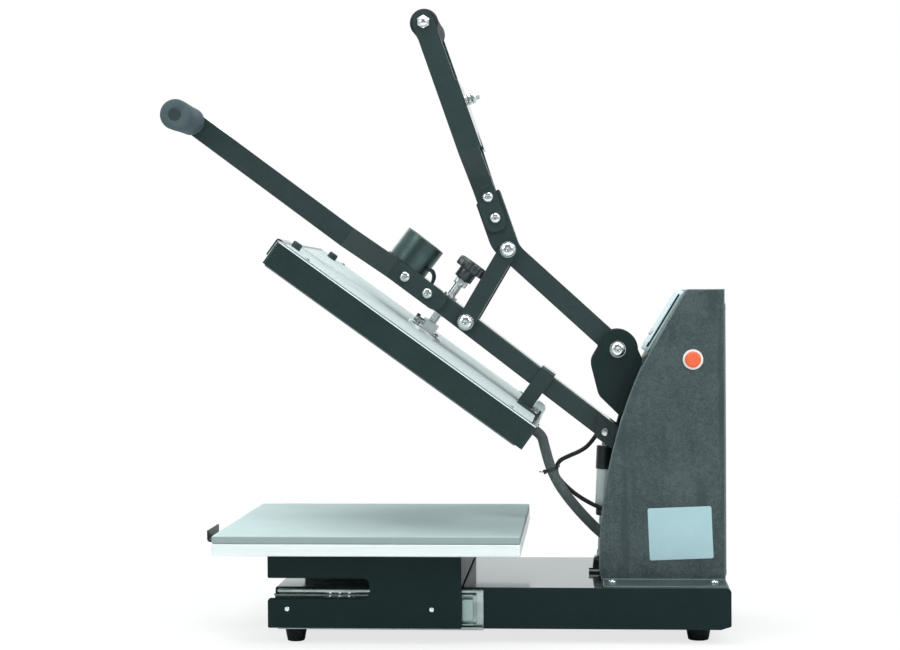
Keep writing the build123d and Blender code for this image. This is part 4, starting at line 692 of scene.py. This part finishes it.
def front_line(z, front):
    """x of the column's front at a height: cx - sqrt(R^2 - (z - cz)^2) on the circle through the foot,
    the belly and the shoulder, and above the shoulder a straight slope to the crest."""
    foot, belly, shoulder, crest = np.array(front)
    sides = 2 * np.array([belly - foot, shoulder - foot])
    centre = np.linalg.solve(sides, [belly @ belly - foot @ foot, shoulder @ shoulder - foot @ foot])
    radius = np.linalg.norm(centre - foot)
    curve = centre[0] - np.sqrt(radius ** 2 - (np.minimum(z, shoulder[1]) - centre[1]) ** 2)
    slope = shoulder[0] + (z - shoulder[1]) * (crest[0] - shoulder[0]) / (crest[1] - shoulder[1])
    return np.where(z < shoulder[1], curve, slope)


def column_move(points):
    """x' = x + w (drawn front - solid front), where w is 1 at the front, falls to 0 from 12 to 30 mm
    behind it, and is 0 on the feet."""
    x, _, z = points.T
    solid = front_line(z, solid_front)
    share = np.clip((0.03 - (x - solid)) / 0.018, 0, 1) * (z > 0.0725)
    moved = points.copy()
    moved[:, 0] = x + share * (front_line(z, drawn_front) - solid)
    return moved


def panel_move(points):
    """P' = S' + n' o' + d' u': o and u are the distances out of the solid's slope and up along it from its
    shoulder S. u' is u fitted to the drawn panel's length, and o' is o with a share of what stands above
    the panel's face, which is the keys. S', n' and d' are the drawn slope's."""
    shoulder, crest = np.array(solid_front[2:])
    rise = (crest - shoulder) / np.linalg.norm(crest - shoulder)
    flat = points[:, [0, 2]] - shoulder
    out = flat @ (-rise[1], rise[0])
    out = np.minimum(out, panel_face) + np.maximum(out - panel_face, 0) * key_share
    along = panel_foot[1] + (flat @ rise - panel_foot[0]) * panel_lengths[1] / panel_lengths[0]
    moved = points.copy()
    moved[:, [0, 2]] = drawn_front[2] + (np.outer(out, panel_out) + np.outer(along, panel_rise))[:, [0, 2]]
    return moved


def reshaped(node, name, finish, body, slot, move):
    """A copy of a solid's skin with its points moved by a formula."""
    mesh = nodes[node].data.copy()
    mesh.transform(nodes[node].matrix_world)
    weld(mesh)
    if "custom_normal" in mesh.attributes:
        mesh.attributes.remove(mesh.attributes["custom_normal"])
    points = np.empty(len(mesh.vertices) * 3)
    mesh.vertices.foreach_get("co", points)
    mesh.vertices.foreach_set("co", move(points.reshape(-1, 3)).ravel())
    mesh.update()
    mesh.materials.clear()
    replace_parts(shown(name, mesh, finish, body, slot), node)


def column():
    """The sheet column, its control panel and the panel's keys."""
    reshaped("column_cover", "column_shell", column_coat, "frame", "dark_powder_coat", column_move)
    reshaped("control_bezel", "panel_bezel", bezel_plastic, "frame", "pale_plastic", panel_move)
    reshaped("display_panel", "panel_overlay", overlay_film, "frame", "pale_overlay", panel_move)
    for side in ("left", "middle", "right"):
        body = "panel_key_" + side
        reshaped(body, side + "_key", key_plastic, body, "key_plastic", panel_move)


# Cables


def cable_tie(conduit_line, lead_line):
    """A narrow band round the sleeve and the lead, with its cut tail. The band's rows are c + (r + add) n,
    where n turns once across the cables, and c and r are those of the one that reaches further along n."""
    n = np.abs(conduit_line[:, 2] - tie_height).argmin()
    spot = conduit_line[n]
    ahead = conduit_line[n + 1] - conduit_line[n - 1]
    ahead /= np.linalg.norm(ahead)
    side = np.cross((0.0, 1.0, 0.0), ahead)
    side /= np.linalg.norm(side)
    other = lead_line[np.abs((lead_line - spot) @ ahead).argmin()]
    centres, radii = np.array([spot, other]), np.array([conduit_r, lead_r])
    angle = round_angles(48)
    way = np.cos(angle)[:, None] * side + np.sin(angle)[:, None] * np.cross(ahead, side)
    nearest = (way @ centres.T + radii).argmax(axis=1)
    rows = [(0.0001, -0.0017), (0.0012, -0.0019), (0.0014, 0.0), (0.0012, 0.0019), (0.0001, 0.0017)]
    band = np.stack([centres[nearest] + (radii[nearest] + add)[:, None] * way + shift * ahead
                     for add, shift in (*rows, rows[0])])
    lock = spot + side * (conduit_r + 0.0026)
    head = swept_strip([lock - 0.0028 * ahead, lock + 0.0028 * ahead], (0.0, 1.0, 0.0), 0.005, 0.004)
    tail_run = [lock - side * 0.001, lock + 0.003 * side - 0.001 * ahead, lock + 0.007 * side - 0.003 * ahead]
    tail = swept_strip(tail_run, (0.0, 1.0, 0.0), 0.0024, 0.001)
    return surface("cable_tie", [(band, True), head, tail], black_plastic, None, "black_cable")


def swept_strip(line, wide, width, thick):
    """A flat strip along a line of points: each ring is the four corners c + u w/2 + n t/2, where u is
    the wide way and n is square to it and to the line."""
    line = np.asarray(line, float)
    run = ways(line)
    u = np.asarray(wide) - run * (run @ np.asarray(wide))[:, None]
    u /= np.linalg.norm(u, axis=1)[:, None]
    n = np.cross(run, u)
    signs = ((-1, -1), (-1, 1), (1, 1), (1, -1))
    rings = np.stack([line + u * width / 2 * a + n * thick / 2 * b for a, b in signs], 1)
    return capped(rings, line[0], line[-1])[:, ::-1], True


def cables():
    """The heater's sleeve and the magnet's lead bend between the frame and the arm."""
    conduit_line = smooth_line(conduit_route)
    lead_line = smooth_line(lead_route)
    conduit = stand_in("heater_conduit", "conduit_sleeve", [tube(conduit_line, conduit_r, 28)], sleeve, None,
                       "grey_sleeve")
    lead = stand_in("magnet_cable", "magnet_lead", [tube(lead_line, lead_r, 16)], lead_skin, None,
                    "black_cable")
    for piece in (conduit, cable_tie(conduit_line, lead_line)):
        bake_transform(piece)
    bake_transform(lead)


def magnet_tails():
    """Two short leads that go from the magnet's foot down into the tube."""
    patches = []
    for y, out in ((-0.019, 0.0), (-0.0135, 0.0022)):
        route = [(-0.0362, y, 0.4672), (-0.0305 + out, y, 0.4662 + out), (-0.0266 + out, y, 0.46),
                 (-0.0276 + out, y, 0.453), (-0.0305, y, 0.4445)]
        patches.append(tube(smooth_line(route), 0.0014, 12))
    surface("magnet_tails", patches, lead_skin, "lower_arm", "black_cable")


# Bolts and screws


def head_rows(face, r, height, socket, washer=0.0):
    """Profile rows of a round head: a washer wider by a tenth, a straight rim a fifth as high as the head,
    a crown and a hexagon socket."""
    rows = [(r * 1.1, face), (r * 1.1, face + washer)] if washer else []
    low = face + washer
    top = face + height
    rows += [(r, low), (r, low + 0.2 * (top - low))]
    rows += crown(r, socket * 1.25, low + 0.2 * (top - low), top, 9)[1:]
    rows += [(socket * 1.05, top - 0.0001), (socket, top - 0.0003, 1.0)]
    return rows + [(socket * 0.96, top - 0.18 * height, 1.0), (0, top - 0.22 * height, 1.0)]


def cap_nut_rows(face, r, height):
    """Profile rows of a hexagon cap nut: a chamfered hexagon and a round crown."""
    hexagon = [(0.9 * r, face), (r, face + 0.08 * height, 1.0), (r, face + 0.4 * height, 1.0)]
    dome = crown(0.78 * r, 0, face + 0.5 * height, face + height)
    return [*hexagon, (0.84 * r, face + 0.46 * height), *dome]


def nut_rows(r, low, high):
    """Profile rows of a hexagon nut with chamfered ends."""
    edge, flat = 0.12 * (high - low), 0.87 * r
    return [(0, low), (flat, low), (r, low + edge, 1.0), (r, high - edge, 1.0), (flat, high), (0, high)]


def flipped(rows):
    """The same rows on the other side of the middle plane, in the order that keeps them outward."""
    return [(r, -z, *more) for r, z, *more in reversed(rows)]


def through_bolt(point, shank, rows):
    """A bolt across the press with the same head at each end."""
    low = flipped(rows)
    ends = [(shank, low[-1][1] + 0.0001), (shank, rows[0][1] - 0.0001)]
    return turned([*low, *ends, *rows], (point[0], 0.0, point[1]), (0, 1, 0))


def side_bolt(point, side, inner, rows, shank):
    """A bolt on one side only; side is 1 or -1, and inner is where its shank ends."""
    profile = [(0, inner), (shank, inner), (shank, rows[0][1] - 0.0001), *rows]
    return turned(profile, (point[0], 0.0, point[1]), (0, side, 0))


def cross_bolts():
    """The pivots, the bolts of the handle's bars and of the lever, and the toggle's stubs."""
    small = (0.007, 0.0045, 0.0019)
    large = (0.0095, 0.007, 0.0022, 0.0012)
    spacer = [(0.0095, 0.019), (0.0095, 0.0252), (0, 0.0252)]
    handle = [through_bolt(grip_bolt, 0.005, cap_nut_rows(0.068, 0.0085, 0.008)),
              *(through_bolt(point, 0.004, head_rows(0.025, *small)) for point in bar_bolts),
              through_bolt(knee, 0.006, head_rows(0.0314, *large)),
              *(side_bolt(knee, side, 0.019, spacer, 0.0094) for side in (1, -1))]
    stand_in("handle_bolts", "handle_bolt_heads", handle, bright, "handle", "chrome_plate")
    pivots = [through_bolt(handle_pivot, 0.006, head_rows(0.038, 0.0095, 0.007, 0.0026, 0.0014)),
              through_bolt(arm_pivot, 0.007, head_rows(0.038, 0.0109, 0.007, 0.0036, 0.0014))]
    stand_in("pivot_pins", "pivot_bolts", pivots, bright, "frame", "chrome_plate")
    stubs = [side_bolt(link_foot, side, 0.0253, head_rows(0.031, *large), 0.006) for side in (1, -1)]
    stand_in("link_foot_bolts", "toggle_stubs", stubs, bright, "toggle_link", "chrome_plate")
    rim = [(0.005, 0.031), (0.005, 0.0314), (0.0043, 0.0317), (0, 0.0317)]
    lever = [*(side_bolt(point, -1, 0.0125, head_rows(0.031, *small), 0.004) for point in lever_bolts),
             through_bolt(spring_pin, 0.004, rim)]
    stand_in("arm_bolts", "arm_bolt_heads", lever, zinc, "lower_arm", "zinc_plate")


def button(place, axis, *head):
    """A small screw's head on a face."""
    return turned([(0, 0), *head_rows(0.0, *head)], place, axis, 24)


def small_screws():
    """Button heads on the carriage, the column's foot and back, and the platen."""
    side_head = head_rows(0.16, 0.0032, 0.002, 0.0012)
    carriage = [side_bolt((x, 0.045), side, 0.1601, side_head, 0.003)
                for x in (-0.2, -0.02) for side in (1, -1)]
    stand_in("carriage_screws", "carriage_screw_heads", carriage, bright, "drawer", "zinc_plate")
    column = [button((x, y, 0.072), up, 0.005, 0.003, 0.0018)
              for x in (0.2034, 0.3304) for y in (-0.106, 0.106)]
    column += [button((0.3476, y, z), (1, 0, 0), 0.0035, 0.0012, 0.0012)
               for y in (-0.069, 0.069) for z in (0.082, 0.415)]
    stand_in("cover_screws", "cover_screw_heads", column, bright, "frame", "zinc_plate")
    yoke = [(0, 0), (0.0062, 0), (0.0065, 0.0006, 1.0), (0.0065, 0.0047, 1.0), (0.0056, 0.0055), (0, 0.0055)]
    platen = [turned(yoke, (0.0895, y, sheet_top + 0.003), up, 36) for y in (-0.0374, 0.0374)]
    platen += [button((screw_x + x, y, sheet_top + 0.005), up, 0.0035, 0.0025, 0.0014)
               for y in (-0.01414, 0.01414) for x in (-0.01414, 0.01414)]
    platen += [button((x, y, sheet_top), up, 0.0032, 0.002, 0.0013)
               for y in (-0.1745, 0.1745) for x in (-0.2495, 0.0595)]
    stand_in("platen_fasteners", "platen_bolt_heads", map(on_arm, platen), dull_zinc, "platen", "zinc_plate")


# Pressure screw, knob and armature


def pressure_screw():
    """A threaded rod with a hexagon locknut under the knob."""
    foot = (screw_x, 0.0, 0.0)
    low, high = 0.1777, knob_foot + 0.0128
    rod = threaded(0.006, 0.002, 0.00022, low, high, foot, up)
    nut = turned(nut_rows(0.01, knob_foot - 0.0088, knob_foot - 0.0003), foot, up, 36)
    stand_in("adjusting_screw", "threaded_rod", map(on_arm, (rod, nut)), screw_zinc, "pressure_screw",
             "zinc_plate", 50)


def hand_knob():
    """A star knob: a round hub, and above it seven lobes with round edges and a dished top."""
    hub = [(0, 0), (0.0115, 0), (0.0125, 0.001), (0.0125, 0.014), (0, 0.014)]
    star = [(0, 0.0134), (0.014, 0.0134, 0.02), (0.0182, 0.0136, 0.07), (0.0192, 0.0152, 0.09),
            (0.0192, 0.023, 0.09), (0.0188, 0.0248, 0.085), (0.0174, 0.0263, 0.075), (0.0152, 0.027, 0.05),
            (0.011, 0.0268, 0.02), (0.01, 0.0258), (0, 0.0258)]
    screw = [(0, 0), (0.0025, 0), (0.0025, 0.0044), (0.002, 0.005), (0.0011, 0.005, 1.0),
             (0.0011, 0.0035, 1.0), (0, 0.0035, 1.0)]
    foot = (screw_x, 0.0, knob_foot)
    patches = [turned(hub, foot, up, 48), turned(star, foot, up, 140, lobes=7),
               turned(screw, (screw_x, 0.0115, knob_foot + 0.0065), (0, 1, 0), 24)]
    stand_in("star_knob", "hand_knob", map(on_arm, patches), knob_plastic, "pressure_screw",
             "black_plastic", 50)


def armature_plate():
    """The disc that the magnet holds, its rubber, and the threaded stud with two nuts above the bridge."""
    foot = (magnet_x, 0.0, armature_low)
    disc = [(0, 0), (0.0243, 0), (0.025, 0.0006), (0.025, 0.0022), (0.0242, 0.003), (0, 0.003)]
    rubber_rows = [(0, 0.003), (0.0088, 0.003), (0.009, 0.00357), (0.0088, 0.00414), (0, 0.00414)]
    washer = [(0, 0.00714), (0.007, 0.00714), (0.007, 0.00826), (0, 0.00834)]
    stud = threaded(0.004, 0.00125, 0.0002, 0.0008, 0.02514, foot, up)
    patches = [turned(disc, foot, up, 64), turned(rubber_rows, foot, up), turned(washer, foot, up), stud]
    patches += [turned(nut_rows(0.007, z, z + 0.005), foot, up, 36) for z in (0.00838, 0.01384)]
    stand_in("armature", "armature_plate", map(on_handle, patches), screw_zinc, "handle", "zinc_plate", 50)


# Grips and feet


def grips():
    """Foam sleeves with round ends: the lever's narrows towards the arm, the handle's has a soft waist."""
    near = crown(0.0175, 0.0145, 0.0921, 0.0891, 6)[::-1]
    body = [(0.0176, 0.1), (0.0178, 0.125), (0.0184, 0.15), (0.0189, 0.17)]
    far = crown(0.019, 0.015, 0.1861, 0.19, 6)
    rows = [(0.008, 0.0895), (0.0086, 0.0891), *near, *body, *far, (0.0088, 0.19), (0.008, 0.1896)]
    lever = ringed(rows, (lever_end[0], 0.0, lever_end[1]), (0, -1, 0), 64)
    stand_in("lever_grip", "lever_foam", [lever], grey_foam, "lower_arm", "grey_foam", 50)
    waist = [(0.0178 + 0.0006 * (y / 0.056) ** 2, y) for y in np.linspace(0.056, -0.056, 17)]
    end = [(0.005, 0.0611), (0.0058, 0.0615), *crown(0.0184, 0.015, 0.0581, 0.0615, 6)[::-1]]
    rows = [*end, *waist, *flipped(end)]
    bar = ringed(rows[::-1], (grip_bolt[0], 0.0, grip_bolt[1]), (0, 1, 0), 64)
    stand_in("handle_grip", "handle_foam", [bar], black_foam, "handle", "black_foam", 50)


def rubber_feet():
    """Four turned feet: a round lower edge, a straight taper and a hollow for the screw underneath."""
    patches = []
    for x, y, low, high in ((-0.1941, 0.125, 0.011, 0.0135), (0.3104, 0.1, 0.013, 0.0155)):
        rows = [(0, 0.006), (0.0045, 0.006), (0.005, 0.0004), (low - 0.0018, 0.0), (low - 0.0005, 0.0005),
                (low, 0.0018), (high, 0.015), (high - 0.0004, 0.0176), (high - 0.0016, 0.0185), (0, 0.0185)]
        patches += [turned(rows, (x, side * y, 0.0), up, 48) for side in (1, -1)]
    stand_in("feet", "rubber_feet", patches, foot_rubber, "frame", "black_rubber")


# Pad, blanket and label


def bed_cover():
    """The silicone pad: straight thin sides, round edges and a top that rises a little to its middle."""
    low_edge = crown(0, 0.0013, 0.1308, pad_low, 6)[::-1]
    top_edge = crown(0, 0.0013, 0.1374, 0.1387, 6)
    rows = [(0.006, pad_low), *low_edge, *top_edge, (0.004, 0.1388), (0.015, 0.13892), (0.06, 0.13898)]
    patches = [slab(pad_half, pad_half, 0.004, rows, (bed_x, 0.0), 11)]
    pad = stand_in("bed_pad", "silicone_pad", patches, pad_skin, "drawer", "silicone_pad", 60)


def blanket():
    """The fibre blanket over the heater: z rises to 7 mm in a soft quilt of cos x cos y and falls to a
    thin edge, on a grid that is drawn in at its rim."""
    share = np.linspace(-1, 1, 61)
    x, y = np.meshgrid(share, share, indexing="ij")
    rim = np.clip((1 - np.maximum(abs(x), abs(y))) * 12, 0, 1)
    quilt = 0.0054 + 0.0012 * abs(np.cos(4.5 * np.pi * x) * np.cos(4.5 * np.pi * y))
    flat = np.stack([blanket_x + x * blanket_half, y * blanket_half, np.full_like(x, blanket_low)], -1)
    top = flat + np.stack([0 * x, 0 * x, 0.0008 + quilt * np.sqrt(rim)], -1)
    rims = [(grid[0], grid[-1], grid[:, 0], grid[:, -1]) for grid in (flat, top)]
    patches = [on_arm((grid, False)) for grid in (flat, top, *map(np.stack, zip(*rims)))]
    piece = stand_in("insulation_blanket", "fibre_blanket", patches, wool, "platen", "insulation_wool", 50)
    weld(piece.data, outward=True)


def bare_label():
    """A thin bare film on the column's side: a flat slab, turned a little in its plane by x' = x c - y s
    and z' = x s + y c."""
    rows = [(0.0006, 0.0), (0.0, 0.0001), (0.0, 0.00022), (0.0002, 0.0003), (0.0008, 0.0003), (0.002, 0.0003)]
    film = slab(*label_half, 0.0025, rows)[0]
    c, s = cos(label_turn), sin(label_turn)
    u = film[..., 0] * c - film[..., 1] * s
    w = film[..., 0] * s + film[..., 1] * c
    grid = np.stack([label_place[0] + u, column_side - film[..., 2], label_place[1] + w], -1)
    surface("bare_label", [(grid, True)], label_film, "frame", "pale_overlay")


# Gas spring


def spring_barrel():
    """The gas spring's cylinder with a rolled shoulder and an open eye, its sleeve and its end cap."""
    foot = (spring_anchor[0], 0.0, spring_anchor[1])
    pin = (spring_pin[0], 0.0, spring_pin[1])
    axis = np.subtract(pin, foot)
    reach = float(np.linalg.norm(axis))
    body = [(0, 0.069), (0.0086, 0.069), (0.009, 0.0696), (0.009, 0.1462), (0.0082, 0.1488),
            (0.006, 0.15), (0.004, 0.1506), (0.004, reach - 0.0085), (0, reach - 0.008)]
    eye = [(0.007, -0.005), (0.0099, -0.005), (0.0105, -0.0043), (0.0105, 0.0043), (0.0099, 0.005),
           (0.007, 0.005)]
    barrel = [turned(body, foot, axis, 40), ringed(eye, pin, (0, 1, 0))]
    stand_in("gas_spring_cylinder", "spring_barrel", barrel, cylinder_paint, "gas_cylinder", "pale_sheet", 50)
    sleeve_rows = [(0.00905, 0.12), (0.0098, 0.12), (0.0103, 0.1206), (0.0103, 0.1494), (0.0098, 0.15),
                   (0.00905, 0.15)]
    cap = [(0, 0.059), (0.0064, 0.059), (0.0076, 0.0602), (0.0076, 0.0684), (0.007, 0.069), (0, 0.069)]
    collars = [ringed(sleeve_rows, foot, axis), turned(cap, foot, axis)]
    surface("spring_collars", collars, black_plastic, "gas_cylinder", "black_plastic")


column()
cables()
magnet_tails()
cross_bolts()
small_screws()
pressure_screw()
hand_knob()
armature_plate()
grips()
rubber_feet()
bed_cover()
blanket()
bare_label()
spring_barrel()


# Camera, floor and light


def photo_camera():
    """The photograph's camera: turned by yaw, pitch and roll from straight along +Y."""
    yaw = Matrix.Rotation(camera_yaw, 4, "Z")
    pitch = Matrix.Rotation(pi / 2 + camera_pitch, 4, "X")
    roll = Matrix.Rotation(camera_roll, 4, "Z")
    data = bpy.data.cameras.new("camera")
    data.lens = camera_lens
    data.sensor_width = camera_sensor
    data.sensor_fit = "HORIZONTAL"
    data.clip_end = 60.0
    camera = bpy.data.objects.new("camera", data)
    camera.matrix_world = Matrix.Translation(camera_place) @ yaw @ pitch @ roll
    show(camera)
    bpy.context.scene.camera = camera


def rays(finish):
    """1 for what is looked at straight or through glass, and 1 for what shows in gloss."""
    kinds = ("Is Camera Ray", "Is Transmission Ray", "Is Glossy Ray")
    camera, through, gloss = (finish.add("ShaderNodeLightPath", out=kind) for kind in kinds)
    return camera.most(through), gloss


def studio_floor():
    """A wide pale floor that turns white away from the press."""
    half, low = 14.0, -0.0003
    corners = np.array([[(-half, -half, low), (half, -half, low)], [(-half, half, low), (half, half, low)]])
    f = Finish("studio_floor")
    far = f.add("ShaderNodeVectorMath", {"operation": "LENGTH"}, {0: f.place((1.0, 0.8, 1.0))}, out="Value")
    seen, gloss = rays(f)
    behind = f.part(1).step(0.1, 0.6)
    white = seen * (0.76 + far.step(0.35, 1.5) * 0.24) + gloss * behind * 0.8
    pale = f.add("ShaderNodeBsdfDiffuse", None, {"Color": (0.86, 0.87, 0.87, 1.0)})
    glow = f.add("ShaderNodeEmission")
    mixed = f.add("ShaderNodeMixShader", None, {0: white, 1: pale, 2: glow})
    f.add("ShaderNodeOutputMaterial", None, {"Surface": mixed})
    floor = surface("studio_floor", [(corners, False)], f.material, None, None)


def studio_world():
    """A white surround with a dark room behind the photographer, which only gloss shows."""
    f = Finish("studio", bpy.data.worlds.new("studio"))
    seen, gloss = rays(f)
    way = f.part(1, f.add("ShaderNodeTexCoord", out="Generated"))
    mirrored = gloss * (0.22 + way.step(-0.75, 0.1) * 0.78)
    strength = seen.most(mirrored) + (1.0 - seen.most(gloss)) * 0.5
    tint = f.blend(seen, (0.94, 1.0, 1.0), (1.0, 1.0, 1.0))
    sky = f.add("ShaderNodeBackground", None, {"Color": tint, "Strength": strength})
    f.add("ShaderNodeOutputWorld", None, {"Surface": sky})
    bpy.context.scene.world = f.material


def soft_light(name, place, target, size, power):
    """A soft box that faces a target: its sides in metres and its power in watts."""
    data = bpy.data.lights.new(name, "AREA")
    data.shape = "RECTANGLE"
    data.size, data.size_y = size
    data.energy = power
    light = bpy.data.objects.new(name, data)
    way = Vector(target) - Vector(place)
    light.matrix_world = Matrix.Translation(place) @ way.to_track_quat("-Z", "Y").to_matrix().to_4x4()
    show(light)


photo_camera()
studio_floor()
studio_world()
soft_light("overhead", (-0.2, -0.2, 2.3), (0.0, 0.0, 0.3), (2.2, 1.8), 40.0)
soft_light("front_left", (-1.9, -2.0, 1.6), (0.0, 0.0, 0.35), (1.2, 1.4), 20.0)
soft_light("front_right", (1.7, -1.7, 1.8), (0.1, 0.0, 0.3), (0.8, 0.9), 32.0)
soft_light("rear_left", (-1.2, 2.2, 1.4), (0.0, 0.0, 0.35), (1.4, 1.4), 16.0)
bpy.context.scene.view_settings.view_transform = "Standard"
